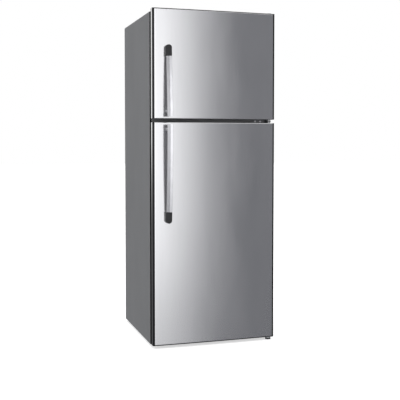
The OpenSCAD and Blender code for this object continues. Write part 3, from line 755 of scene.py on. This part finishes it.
@dataclass
class Door(Assembly):
    """One door: steel skin, black rails and end caps, foam, liner and gasket."""

    prefix: str
    crown_flats: int = 72
    skin_fold: float = 3 * MM
    skin_sheet: float = 0.8 * MM
    skin_gap: float = 0.1 * MM
    rail_front: float = 6 * MM
    rail_rear: float = 12 * MM
    # How far back from the rails' front the painted seam shade begins.
    painted_shade_start: float = 25 * MM
    core_room: float = 2.5 * MM
    rim_width: float = 20 * MM
    rim_inset: float = 10 * MM
    bar_height: float = 16 * MM
    bar_depth: float = 14 * MM
    seal_width: float = 18 * MM
    seal_section: Section = ((0.25, 0), (0.75, 0), (0.75, 0.14), (0.66, 0.26), (0.9, 0.42), (1, 0.56),
                             (1, 0.94), (0.95, 1), (0.05, 1), (0, 0.94), (0, 0.56), (0.1, 0.42),
                             (0.34, 0.26), (0.25, 0.14))

    def build(self) -> None:
        """Makes every piece of the door."""
        self.skin()
        self.rails()
        self.caps()
        self.core()
        self.liner()
        self.gasket()

    def skin(self) -> None:
        """The crowned steel sheet, with its edges folded back."""
        node = f"{self.prefix}_door_skin"
        low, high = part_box(node)
        rail_low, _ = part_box(f"{self.prefix}_door_rails")
        half = high.x
        rise = rail_low.y - low.y
        radius = (half * half + rise * rise) / (2 * rise)
        shape = Shape()
        bmesh.ops.create_grid(shape.mesh, x_segments=self.crown_flats, y_segments=1, size=1)
        for vert in shape.mesh.verts:
            across = vert.co.x * half
            height = low.z if vert.co.y < 0 else high.z
            vert.co = (across, low.y + radius - math.sqrt(radius * radius - across * across), height)
        rim = [e for e in shape.mesh.edges if e.is_boundary]
        for vert in corners_in(bmesh.ops.extrude_edge_only(shape.mesh, edges=rim)["geom"]):
            vert.co.y = high.y
        bmesh.ops.recalc_face_normals(shape.mesh, faces=shape.mesh.faces)
        shape.bevel(self.skin_fold, 4, least=40).face_towards((0, -1, 0))
        self.place(f"{self.prefix}_door_skin_sheet", [shape], STEEL_SKIN, node, sheet=self.skin_sheet)

    def rails(self) -> None:
        """The black side rails, glossy in front; behind, a near-black copy with no shine is painted shade
        for the door seam.
        """
        node = f"{self.prefix}_door_rails"
        low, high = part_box(node)
        _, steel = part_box(f"{self.prefix}_door_skin")
        rail = Shape.block((steel.x + self.skin_gap, low.y, low.z), high)
        outer = high.x - MM
        rail.bevel(self.rail_front, 6, Axis.UP, lambda p: p.x > outer and p.y < low.y + MM)
        rail.bevel(self.rail_rear, 6, Axis.UP, lambda p: p.x > outer and p.y > high.y - MM)
        rail.bevel(0.7 * MM, 2, least=40)
        # The rails' rear part is split off and given the black with no shine: painted shade where the seam
        # lies in shadow.
        shaded_rear = Shape(rail.mesh.copy())
        rail.cut(Axis.DEEP, low.y + self.painted_shade_start, -1).close()
        shaded_rear.cut(Axis.DEEP, low.y + self.painted_shade_start, 1).close()
        self.place(f"{self.prefix}_door_rail_pair", rail.both_sides(), BLACK_TRIM, node)
        self.place(f"{self.prefix}_door_rail_painted_shade", shaded_rear.both_sides(), SEAM_SHADE_BLACK)

    def caps(self) -> None:
        """The plastic end caps."""
        self.refine(f"{self.prefix}_door_caps", BLACK_TRIM, 0.5 * MM)

    def core(self) -> None:
        """The foam between skin and liner, set back a little from the skin's fold."""
        node = f"{self.prefix}_door_core"
        low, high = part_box(node)
        foam = Shape.copy_of(node)
        for vert in foam.mesh.verts:
            if abs(vert.co.x) > high.x - MM:
                vert.co.x -= math.copysign(self.core_room, vert.co.x)
            vert.co.y = max(vert.co.y, low.y + self.core_room)
        self.place(f"{node}_foam", [foam.bevel(0.3 * MM, 1)], FOAM, node)

    def liner(self) -> None:
        """The formed inner sheet with the raised rims that hold the bins."""
        node = f"{self.prefix}_door_liner"
        low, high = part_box(node)
        plate_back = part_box(f"{self.prefix}_door_gasket")[0].y
        space_low, space_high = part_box(f"{self.prefix}_liner")
        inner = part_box("bottle_bin" if self.prefix == "fridge" else "freezer_door_bins")[1].x
        foot, head = space_low.z + self.rim_inset, space_high.z - self.rim_inset
        plate = Shape.block(low, (high.x, plate_back, high.z)).bevel(0.8 * MM, 2)
        side = Shape.block((inner, plate_back - MM, foot), (inner + self.rim_width, high.y, head))
        side.bevel(8 * MM, 5, Axis.UP, lambda p: p.y > high.y - MM)
        side.bevel(3 * MM, 3, where=lambda p: p.y > plate_back)
        shapes = [plate, *side.both_sides()]
        for bottom in (foot, head - self.bar_height):
            bar = Shape.block((-inner - MM, plate_back - MM, bottom),
                              (inner + MM, plate_back + self.bar_depth, bottom + self.bar_height))
            bar.bevel(5 * MM, 4, Axis.ACROSS, lambda p: p.y > plate_back + self.bar_depth - MM)
            shapes.append(bar)
        self.place(f"{self.prefix}_door_formed_liner", shapes, LINER_WHITE, node)

    def gasket(self) -> None:
        """The magnetic seal: a foot, a folded waist and a magnet head, mitred at the corners."""
        node = f"{self.prefix}_door_gasket"
        low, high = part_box(node)
        depth = high.y - low.y
        middle = (low.z + high.z) / 2
        shape = Shape()
        ring = []
        for share, back in self.seal_section:
            inset = (1 - share) * self.seal_width
            ring.append(shape.mesh.verts.new((inset - high.x, low.y + back * depth, low.z + inset)))
        edges = [shape.mesh.edges.new(pair) for pair in zip(ring, ring[1:] + ring[:1])]
        for axis, at in ((Axis.ACROSS, 0.0), (Axis.UP, middle)) * 2:
            ring = corners_in(bmesh.ops.extrude_edge_only(shape.mesh, edges=edges)["geom"])
            bmesh.ops.transform(shape.mesh, matrix=axis.mirror(at), verts=ring)
            edges = [e for e in shape.mesh.edges if e.verts[0] in ring and e.verts[1] in ring]
        bmesh.ops.remove_doubles(shape.mesh, verts=shape.mesh.verts, dist=WELD)
        bmesh.ops.recalc_face_normals(shape.mesh, faces=shape.mesh.faces)
        self.place(f"{self.prefix}_door_seal", [shape], SEAL, node, sharp=50)


@dataclass(frozen=True)
class Bow:
    """The arc that a handle's bar follows, seen from the side."""

    x: float
    low: float
    high: float
    centre: Vector
    radius: float
    steps: int = 48

    def swept(self, section: Section) -> Shape:
        """Sweeps a section along the bow.

        Args:
            section: Its corners, across and outwards from the bow's face.

        Returns:
            The closed bar.
        """
        shape = Shape()
        start = math.asin((self.low - self.centre.z) / self.radius)
        end = math.asin((self.high - self.centre.z) / self.radius)
        ring = []
        for across, out in section:
            reach = self.radius + out
            ring.append(shape.mesh.verts.new((self.x + across, self.centre.y - reach * math.cos(start),
                                              self.centre.z + reach * math.sin(start))))
        face = shape.mesh.faces.new(ring)
        bmesh.ops.spin(shape.mesh, geom=[face, *face.edges, *ring], cent=self.centre, axis=(1, 0, 0),
                       angle=start - end, steps=self.steps, use_merge=False)
        shape.close()
        for vert in shape.mesh.verts:
            vert.co.z = min(max(vert.co.z, self.low), self.high)
        bmesh.ops.recalc_face_normals(shape.mesh, faces=shape.mesh.faces)
        return shape


@dataclass
class Handle:
    """The bowed bar over both doors, in two halves, each with a dark outer end."""

    bow: float = 25 * MM
    sheet: float = 6.5 * MM
    seam: float = 10 * MM
    thick: float = 15 * MM
    side_inset: float = 0.6 * MM
    rear_edge: float = 2 * MM
    foot_radius: float = 8 * MM
    foot_from_end: float = 24 * MM
    end_edge: float = 4 * MM
    end_slope: float = 0.16

    def build(self, door: Door, cap_up: bool) -> None:
        """Makes one half.

        Args:
            door: The door that carries it.
            cap_up: Whether the dark end is its upper end.
        """
        node = f"{door.prefix}_handle"
        low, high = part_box(node)
        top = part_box("freezer_handle_cap")[1].z
        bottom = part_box("fridge_handle_cap")[0].z
        front = min(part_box("freezer_handle")[0].y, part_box("fridge_handle")[0].y)
        half = (top - bottom) / 2
        radius = (half * half + self.bow * self.bow) / (2 * self.bow)
        x = (low.x + high.x) / 2
        wide = (high.x - low.x) / 2
        bow = Bow(x, low.z, high.z, Vector((0, front + radius, (top + bottom) / 2)), radius)
        foot_z = low.z + self.foot_from_end if cap_up else high.z - self.foot_from_end
        foot_front = front + self.thick * 0.7
        foot = Shape.drum((x, foot_front, foot_z), Axis.DEEP, high.y - foot_front, self.foot_radius)
        foot.bevel(0.6 * MM, 2)
        rear = wide - self.side_inset
        door.place(f"{node}_bar", [bow.swept(self.face(wide))], BAR_SILVER, node, sharp=18)
        # The near-black band behind the silver face is painted shade on the bar's sides.
        door.place(f"{node}_carrier", [bow.swept(self.shaded_band(rear))], BAR_SIDE_SHADE)
        door.place(f"{node}_back", [bow.swept(self.back(rear)), foot], BACK_GREY)
        self.end(door, f"{door.prefix}_handle_cap", cap_up)

    def face(self, wide: float) -> Section:
        """The silver face's section: a left facet, a crease and a right facet.

        Args:
            wide: Half its width.

        Returns:
            The section.
        """
        return [(-wide, -5 * MM), (MM - wide, -3.9 * MM), (-2.4 * MM, -0.9 * MM), (-1.2 * MM, -2.2 * MM),
                (0, -0.32 * MM), (wide - 1.4 * MM, 0), (wide - 0.3 * MM, -0.6 * MM),
                (wide, -1.8 * MM), (wide, -self.sheet), (-wide, -self.sheet)]

    def shaded_band(self, rear: float) -> Section:
        """The dark band's section, behind the face, of half width rear; its near-black is painted shade on
        the bar's sides.
        """
        return [(-rear, -self.sheet), (rear, -self.sheet), (rear, -self.seam), (-rear, -self.seam)]

    def back(self, rear: float) -> Section:
        """The pale back's section, with its rear edges taken off.

        Args:
            rear: Half its width.

        Returns:
            The section.
        """
        edge = self.rear_edge
        return [(-rear, -self.seam), (rear, -self.seam), (rear, edge - self.thick),
                (rear - edge, -self.thick), (edge - rear, -self.thick), (-rear, edge - self.thick)]

    def end(self, door: Door, node: str, cap_up: bool) -> None:
        """The dark end, rounded towards the outside and drawn in at its tip.

        Args:
            door: The door that carries it.
            node: The CAD node.
            cap_up: Whether its tip points up.
        """
        low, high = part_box(node)
        shape = Shape.block(low, high)
        tip, root = (high.z, low.z) if cap_up else (low.z, high.z)
        half = (high.x - low.x) / 2
        shape.bevel(half * 0.96, 10, Axis.DEEP, lambda p: abs(p.z - tip) < MM)
        shape.bevel(self.end_edge, 4, where=lambda p: p.y < low.y + MM, least=40)
        for vert in shape.mesh.verts:
            share = abs(vert.co.z - root) / (high.z - low.z)
            vert.co.y += share * share * (high.y - vert.co.y) * self.end_slope
        door.place(f"{door.prefix}_handle_end", [shape], CAP_GREY, node)


@dataclass
class Cabinet(Assembly):
    """The painted cabinet, its foam and its back."""

    roll: float = 2.5 * MM
    sheet: float = 0.8 * MM
    press_room: float = 3.5 * MM
    # Depth and width of the painted shade strip on the side sheet's front flange.
    shade_strip_depth: float = 3 * MM
    shade_strip_width: float = 7 * MM
    columns: int = 2
    rows: int = 4
    rib: float = 24 * MM
    presses: Sequence[tuple[float, float]] = ((4 * MM, 0.7 * MM), (6 * MM, 1.8 * MM), (4 * MM, 0.7 * MM))

    def build(self) -> None:
        """Makes the cabinet's pieces."""
        for side in (-1, 1):
            self.side_panel(side)
        self.refine("top_panel", CABINET_PAINT, 0.3 * MM)
        self.refine("mullion_bar", CABINET_PAINT, 0.2 * MM)
        self.rear_panel()
        self.foam()
        self.refine("base_tray", ZINC, 0.3 * MM)
        self.refine("bay_panel", ZINC, 0.2 * MM)
        self.refine("compressor_cover", DARK_SHEET, 0.2 * MM)

    def foam(self) -> None:
        """The foam, hollowed a little behind the pressed fields of the rear panel."""
        _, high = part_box("insulation")
        foam = Shape.copy_of("insulation")
        rear = [v for v in foam.mesh.verts if v.co.y > high.y - MM]
        bmesh.ops.translate(foam.mesh, vec=(0, -self.press_room, 0), verts=rear)
        self.place("insulation_foam", [foam.bevel(0.3 * MM, 1)], FOAM, "insulation")

    def side_panel(self, side: int) -> None:
        """One side sheet, and a black strip with no shine along its rolled front edge: painted shade of the
        door seam.

        Args:
            side: -1 for the left and 1 for the right.
        """
        node = "side_panel_left" if side < 0 else "side_panel_right"
        low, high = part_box(node)
        flange, outer = (low.x, high.x) if side > 0 else (high.x, low.x)
        line = [(flange, low.y, low.z), (outer, low.y, low.z), (outer, high.y, low.z)]
        sheet = Shape.strip(line, (0, 0, high.z - low.z))
        sheet.bevel(self.roll, 5, Axis.UP, least=40).face_towards((side, 0, 0))
        inner = abs(outer) - self.shade_strip_width
        back = low.y + self.shade_strip_depth
        sheet.cut(Axis.DEEP, back).cut(Axis.ACROSS, side * inner)
        # The outer part of the front flange is split off and given the black with no shine: painted shade
        # where the seam lies in shadow.
        edge = Shape(sheet.mesh.copy())
        edge.keep_faces(lambda p: p.y < back and abs(p.x) > inner)
        sheet.keep_faces(lambda p: p.y >= back or abs(p.x) <= inner)
        self.place(node + "_sheet", [sheet], CABINET_PAINT, node, sheet=self.sheet)
        self.place(node + "_edge", [edge], SEAM_SHADE_BLACK, sheet=self.sheet)

    def rear_panel(self) -> None:
        """The rear sheet with its pressed fields."""
        low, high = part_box("rear_panel")
        size = high - low
        sheet = Shape()
        bmesh.ops.create_grid(sheet.mesh, x_segments=self.columns, y_segments=self.rows, size=1)
        for vert in sheet.mesh.verts:
            vert.co = (low.x + (vert.co.x + 1) / 2 * size.x, high.y, low.z + (vert.co.y + 1) / 2 * size.z)
        bmesh.ops.reverse_faces(sheet.mesh, faces=sheet.mesh.faces)
        sheet.mesh.normal_update()
        bmesh.ops.inset_individual(sheet.mesh, faces=sheet.mesh.faces[:], thickness=self.rib, depth=0)
        half_field = size.x / self.columns * size.z / self.rows / 2
        fields = [f for f in sheet.mesh.faces if f.calc_area() > half_field]
        for width, fall in self.presses:
            bmesh.ops.inset_individual(sheet.mesh, faces=fields, thickness=width, depth=-fall)
        self.place("rear_panel_sheet", [sheet], ZINC, "rear_panel", sheet=self.sheet)


@dataclass
class Compartment(Assembly):
    """The formed liners with rounded corners, and the ledges that carry the shelves."""

    corner: float = 14 * MM
    gauge: float = 2 * MM
    ledge_out: float = 7 * MM
    ledge_height: float = 10 * MM
    ledge_start: float = 14 * MM
    duct_room: float = 10 * MM
    bay_room: float = 6 * MM
    step_below_frame: float = 15 * MM

    def build(self) -> None:
        """Makes both liners."""
        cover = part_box("evaporator_cover")
        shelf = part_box("freezer_shelf")
        self.liner("freezer_liner", None, [(shelf[0], cover[0].y - self.duct_room)])
        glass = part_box("glass_shelves")
        upper = Vector((glass[0].x, glass[0].y, glass[1].z - (shelf[1].z - shelf[0].z)))
        step = (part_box("crisper_drawer")[1].y + self.bay_room,
                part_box("crisper_frame")[1].z - self.step_below_frame)
        self.liner("fridge_liner", step, [(glass[0], glass[1].y), (upper, glass[1].y)])

    def liner(self, node: str, step: Optional[tuple[float, float]],
              shelves: Sequence[tuple[Vector, float]]) -> None:
        """One liner.

        Args:
            node: The CAD node.
            step: Back and top of its lower, shallower part, where there is one.
            shelves: Each shelf's lowest front left corner and where its ledges end.
        """
        low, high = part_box(node)
        side = low.x + self.gauge
        front, back = low.y, high.y - self.gauge
        floor, ceiling = low.z + self.gauge, high.z - self.gauge
        line = [(side, front, floor), (side, back, floor), (side, back, ceiling), (side, front, ceiling)]
        if step:
            line[1:2] = [(side, step[0], floor), (side, step[0], step[1]), (side, back, step[1])]
        room = Shape.outline(line, (-2 * side, 0, 0))
        room.bevel(self.corner, 5, where=lambda p: p.y > front + MM)
        room.mesh.normal_update()
        room.open_side((0, -1, 0))
        bmesh.ops.reverse_faces(room.mesh, faces=room.mesh.faces)
        ledges = []
        for shelf, end in shelves:
            ledge = Shape.block((side - MM, shelf.y + self.ledge_start, shelf.z - self.ledge_height),
                                (side + self.ledge_out, end, shelf.z))
            ledge.bevel(2.5 * MM, 3, where=lambda p: p.x > side)
            ledges += ledge.both_sides()
        self.place(node + "_room", [room], LINER_WHITE, node, sheet=self.gauge)
        self.place(node + "_ledges", ledges, LINER_WHITE)


@dataclass(frozen=True)
class Fitting:
    """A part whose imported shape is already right: its node, its finish and its edges' rounding in mm."""

    node: str
    finish: Finish
    edge: float


@dataclass(frozen=True)
class Fittings:
    """The parts that are only softened and dressed, group by group."""

    machine_bay: tuple[Fitting, ...] = (
        Fitting("cord_inlet", BLACK_RUBBER, 0.5), Fitting("compressor", ENAMEL, 1.5),
        Fitting("compressor_mounts", BLACK_RUBBER, 0.8), Fitting("condenser_coil", ENAMEL, 0.2))
    cold_side: tuple[Fitting, ...] = (
        Fitting("evaporator", FIN_METAL, 0.1), Fitting("evaporator_cover", WHITE_PLASTIC, 0.6),
        Fitting("fan_motor", GREY_PLASTIC, 0.8), Fitting("fan_blade", GREY_PLASTIC, 0.3),
        Fitting("air_duct", WHITE_PLASTIC, 0.5))
    shelving: tuple[Fitting, ...] = (
        Fitting("freezer_shelf", GLASS, 0.8), Fitting("glass_shelves", GLASS, 0.8),
        Fitting("shelf_trims", WHITE_PLASTIC, 1.2), Fitting("crisper_frame", WHITE_PLASTIC, 1.0),
        Fitting("crisper_drawer", CLEAR, 0.8))
    controls: tuple[Fitting, ...] = (
        Fitting("control_housing", WHITE_PLASTIC, 0.8), Fitting("thermostat_knob", GREY_PLASTIC, 0.8),
        Fitting("lamp_cover", FROSTED, 0.8))
    hinges: tuple[Fitting, ...] = (
        Fitting("top_hinge", HINGE_METAL, 0.4), Fitting("middle_hinge", SHADED_METAL, 0.4),
        Fitting("bottom_hinge", HINGE_METAL, 0.4), Fitting("hinge_pins", PIN_METAL, 0.4),
        Fitting("hinge_screws", PIN_METAL, 0.5), Fitting("top_hinge_cover", DARK_PLASTIC, 0.6))
    supports: tuple[Fitting, ...] = (
        Fitting("roller_brackets", ZINC, 0.3), Fitting("roller_left", DARK_PLASTIC, 1.0),
        Fitting("roller_right", DARK_PLASTIC, 1.0), Fitting("foot_left", DARK_PLASTIC, 1.0),
        Fitting("foot_right", DARK_PLASTIC, 0.8))
    door_bins: tuple[Fitting, ...] = (
        Fitting("freezer_door_bins", CLEAR, 0.7), Fitting("dairy_bin", CLEAR, 0.7),
        Fitting("dairy_lid", CLEAR, 0.5), Fitting("fridge_door_bin", CLEAR, 0.7),
        Fitting("bottle_bin", CLEAR, 0.7))

    def build(self) -> None:
        """Makes every part on the body that it belongs to."""
        bodies = frame["record"]["behaviour"]["bodies"]
        home = {node: body for body, nodes in bodies.items() for node in nodes}
        for group in (self.machine_bay, self.cold_side, self.shelving, self.controls,
                      self.hinges, self.supports, self.door_bins):
            for part in group:
                Assembly(home[part.node]).refine(part.node, part.finish, part.edge * MM)


# ---------------------------------------------------------------- studio


class Sum(Enum):
    """A sum that a node of the room's light does."""

    TIMES = "MULTIPLY"
    TIMES_PLUS = "MULTIPLY_ADD"
    HEIGHT_ANGLE = "ARCSINE"
    BEARING_ANGLE = "ARCTAN2"


class RoomWiring:
    """The nodes of the room's light."""

    def __init__(self, name: str) -> None:
        """Makes the world and takes a ray's direction apart.

        Args:
            name: The world's name.
        """
        world = bpy.data.worlds.new(name)
        bpy.context.scene.world = world
        world.use_nodes = True
        self.tree = world.node_tree
        coords = self.tree.nodes.new("ShaderNodeTexCoord").outputs["Generated"]
        parts = self.tree.nodes.new("ShaderNodeSeparateXYZ")
        self.feed(parts.inputs["Vector"], coords)
        self.across, self.deep, self.up = parts.outputs

    def feed(self, slot: Socket, given: Union[Socket, float, tuple]) -> None:
        """Joins a socket to a slot, or sets the slot to a number or a colour.

        Args:
            slot: The slot.
            given: The socket, number or colour.
        """
        if isinstance(given, bpy.types.NodeSocket):
            self.tree.links.new(given, slot)
        else:
            slot.default_value = given

    def maths(self, kind: Sum, *given: Union[Socket, float]) -> Socket:
        """One sum on sockets or numbers.

        Args:
            kind: The sum.
            given: What goes in.

        Returns:
            The result.
        """
        node = self.tree.nodes.new("ShaderNodeMath")
        node.operation = kind.value
        for slot, value in zip(node.inputs, given):
            self.feed(slot, value)
        return node.outputs["Value"]

    def times_plus(self, first: Socket, second: Socket, third: Socket) -> Socket:
        """Two colours multiplied and a third one added.

        Args:
            first: A colour.
            second: The colour that it is multiplied by.
            third: The colour that is added.

        Returns:
            The result.
        """
        node = self.tree.nodes.new("ShaderNodeVectorMath")
        node.operation = "MULTIPLY_ADD"
        for slot, value in zip(node.inputs, (first, second, third)):
            self.feed(slot, value)
        return node.outputs["Vector"]

    def scaled(self, colour: Socket, factor: float) -> Socket:
        """A colour made brighter.

        Args:
            colour: The colour.
            factor: How much brighter.

        Returns:
            The result.
        """
        node = self.tree.nodes.new("ShaderNodeVectorMath")
        node.operation = "SCALE"
        node.inputs["Scale"].default_value = factor
        self.feed(node.inputs[0], colour)
        return node.outputs["Vector"]

    def mixed(self, factor: Socket, first: Union[Socket, tuple], second: Union[Socket, tuple]) -> Socket:
        """A mix of two colours.

        Args:
            factor: 0 gives the first and 1 the second.
            first: The first colour.
            second: The second colour.

        Returns:
            The mix.
        """
        node = self.tree.nodes.new("ShaderNodeMix")
        node.data_type = "RGBA"
        for slot, given in zip((node.inputs[0], node.inputs[6], node.inputs[7]), (factor, first, second)):
            self.feed(slot, given)
        return node.outputs[2]

    def ramp(self, value: Socket, stops: Stops, tone: Point = (1, 1, 1)) -> Socket:
        """A curve of brightness.

        Args:
            value: What it reads, from 0 to 1.
            stops: Places from 0 to 1 and their brightness.
            tone: Colour of the light.

        Returns:
            The brightness.
        """
        node = self.tree.nodes.new("ShaderNodeValToRGB")
        elements = node.color_ramp.elements
        while len(elements) > 1:
            elements.remove(elements[-1])
        for i, (place, level) in enumerate(stops):
            stop = elements[0] if i == 0 else elements.new(place)
            stop.position = place
            stop.color = (*(level * part for part in tone), 1)
        self.feed(node.inputs["Fac"], value)
        return node.outputs["Color"]


@dataclass(frozen=True)
class Room:
    """A soft room: a bright wall in front, a darker one to its right and a bright ceiling.

    Each curve holds degrees and a brightness. Bearings run from the front to the right, and heights
    up from the horizon.
    """

    wall: Stops = ((-180, 0.0), (-170.5, 0.0), (-168.5, 1.5), (-160, 1.5), (-140, 0.3), (-90, 0.3),
                   (-26, 0.1), (-17, 0.36), (-8, 0.84), (7, 0.86), (10.5, 0.72), (13, 0.58), (15.6, 0.33),
                   (18, 0.125), (20, 0.03), (21.5, 0.0), (24.5, 0.0), (26.5, 0.05), (32, 0.0), (60, 0.1),
                   (110, 0.3), (150, 0.2), (162, 0.0))
    rest: Stops = ((-180, 0.01), (-171, 0.01), (-168, 0.1), (-40, 0.1), (150, 0.1), (165, 0.01))
    front_fade: Stops = ((-90, 0.3), (-20, 0.42), (-13.9, 0.50), (-11.8, 0.63), (-9.6, 0.76), (-7.4, 0.88),
                         (-4.4, 0.98), (0, 1.0), (10.5, 1.0), (18, 0.5), (23, 0.12), (36, 0.2))
    back_fade: Stops = ((-90, 0.05), (-12, 0.05), (-6, 0.1), (-3, 0.3), (1, 1.0), (14, 1.0), (24, 0.3))
    ceiling: Stops = ((22, 0.0), (45, 1.0))
    ceiling_tone: float = 0.8
    rest_tone: Colour = (0.97, 0.985, 1.07)
    brightest: float = 2.0

    def build(self) -> None:
        """Wires the world."""
        wiring = RoomWiring("soft_room")
        ahead = wiring.maths(Sum.TIMES, wiring.deep, -1.0)
        bearing = wiring.maths(Sum.BEARING_ANGLE, wiring.across, ahead)
        around = wiring.maths(Sum.TIMES_PLUS, bearing, 0.5 / math.pi, 0.5)
        lift = wiring.maths(Sum.HEIGHT_ANGLE, wiring.up)
        height = wiring.maths(Sum.TIMES_PLUS, lift, 1 / math.pi, 0.5)
        behind = wiring.ramp(wiring.maths(Sum.TIMES_PLUS, wiring.deep, 0.5, 0.5), ((0.45, 0.0), (0.6, 1.0)))
        wall = wiring.ramp(around, self.shares(self.wall, 360))
        rest = wiring.ramp(around, self.shares(self.rest, 360), self.rest_tone)
        front = wiring.ramp(height, self.shares(self.front_fade, 180))
        back = wiring.ramp(height, self.shares(self.back_fade, 180))
        sides = wiring.times_plus(wall, wiring.mixed(behind, front, back), rest)
        above = wiring.ramp(height, self.shares(self.ceiling, 180))
        room = wiring.mixed(above, sides, (*[self.ceiling_tone] * 3, 1))
        seen = wiring.tree.nodes.new("ShaderNodeLightPath").outputs["Is Camera Ray"]
        final = wiring.mixed(seen, wiring.scaled(room, self.brightest), (1.0, 1.0, 1.0, 1))
        wiring.feed(wiring.tree.nodes["Background"].inputs["Color"], final)

    def shares(self, stops: Stops, whole: float) -> Stops:
        """Degrees as shares of a whole turn or half turn, from 0 to 1."""
        return [(degrees / whole + 0.5, level) for degrees, level in stops]


@dataclass(frozen=True)
class Studio:
    """Pale floor, soft light and camera."""

    camera_at: tuple[float, float, float] = (-1.1428, -3.6543, 0.9491)
    turn: float = 17.561
    dip: float = 2.470
    lens: float = 68.69
    sensor: float = 36.0
    shift: float = -0.060
    floor_size: float = 30.0
    floor_glow: float = 0.6

    def build(self) -> None:
        """Sets up the studio."""
        self.camera()
        self.floor()
        Room().build()

    def camera(self) -> None:
        """The camera, at standing height to the left of the doors."""
        data = bpy.data.cameras.new("camera")
        data.lens = self.lens
        data.sensor_width = self.sensor
        data.shift_y = self.shift
        camera = bpy.data.objects.new("camera", data)
        camera.location = self.camera_at
        camera.rotation_euler = (math.radians(90 - self.dip), 0, -math.radians(self.turn))
        bpy.context.scene.collection.objects.link(camera)
        bpy.context.scene.camera = camera

    def floor(self) -> None:
        """A wide pale floor."""
        shape = Shape()
        bmesh.ops.create_grid(shape.mesh, x_segments=1, y_segments=1, size=self.floor_size)
        floor = into_object("studio_floor", [shape])
        wiring = Wiring("pale_floor")
        wiring.set(Roughness=0.9, Emission_Color=(1, 1, 1, 1), Emission_Strength=self.floor_glow)
        wiring.tint(wiring.noise((3.0, 3.0, 3.0), 2.0), (0.61, 0.61, 0.61), (0.63, 0.63, 0.63))
        floor.data.materials.append(wiring.material)
        floor.visible_glossy = False
        floor.visible_diffuse = False


def main() -> None:
    """Builds the refrigerator and its studio."""
    logging.basicConfig(level=logging.INFO, format="%(message)s")
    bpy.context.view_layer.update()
    bpy.context.scene.view_settings.view_transform = "Standard"
    Cabinet("cabinet").build()
    freezer = Door("freezer_door", "freezer")
    fridge = Door("fridge_door", "fridge")
    for door in (freezer, fridge):
        door.build()
    Compartment("cabinet").build()
    handle = Handle()
    handle.build(freezer, True)
    handle.build(fridge, False)
    Fittings().build()
    Studio().build()


if __name__ == "__main__":
    main()
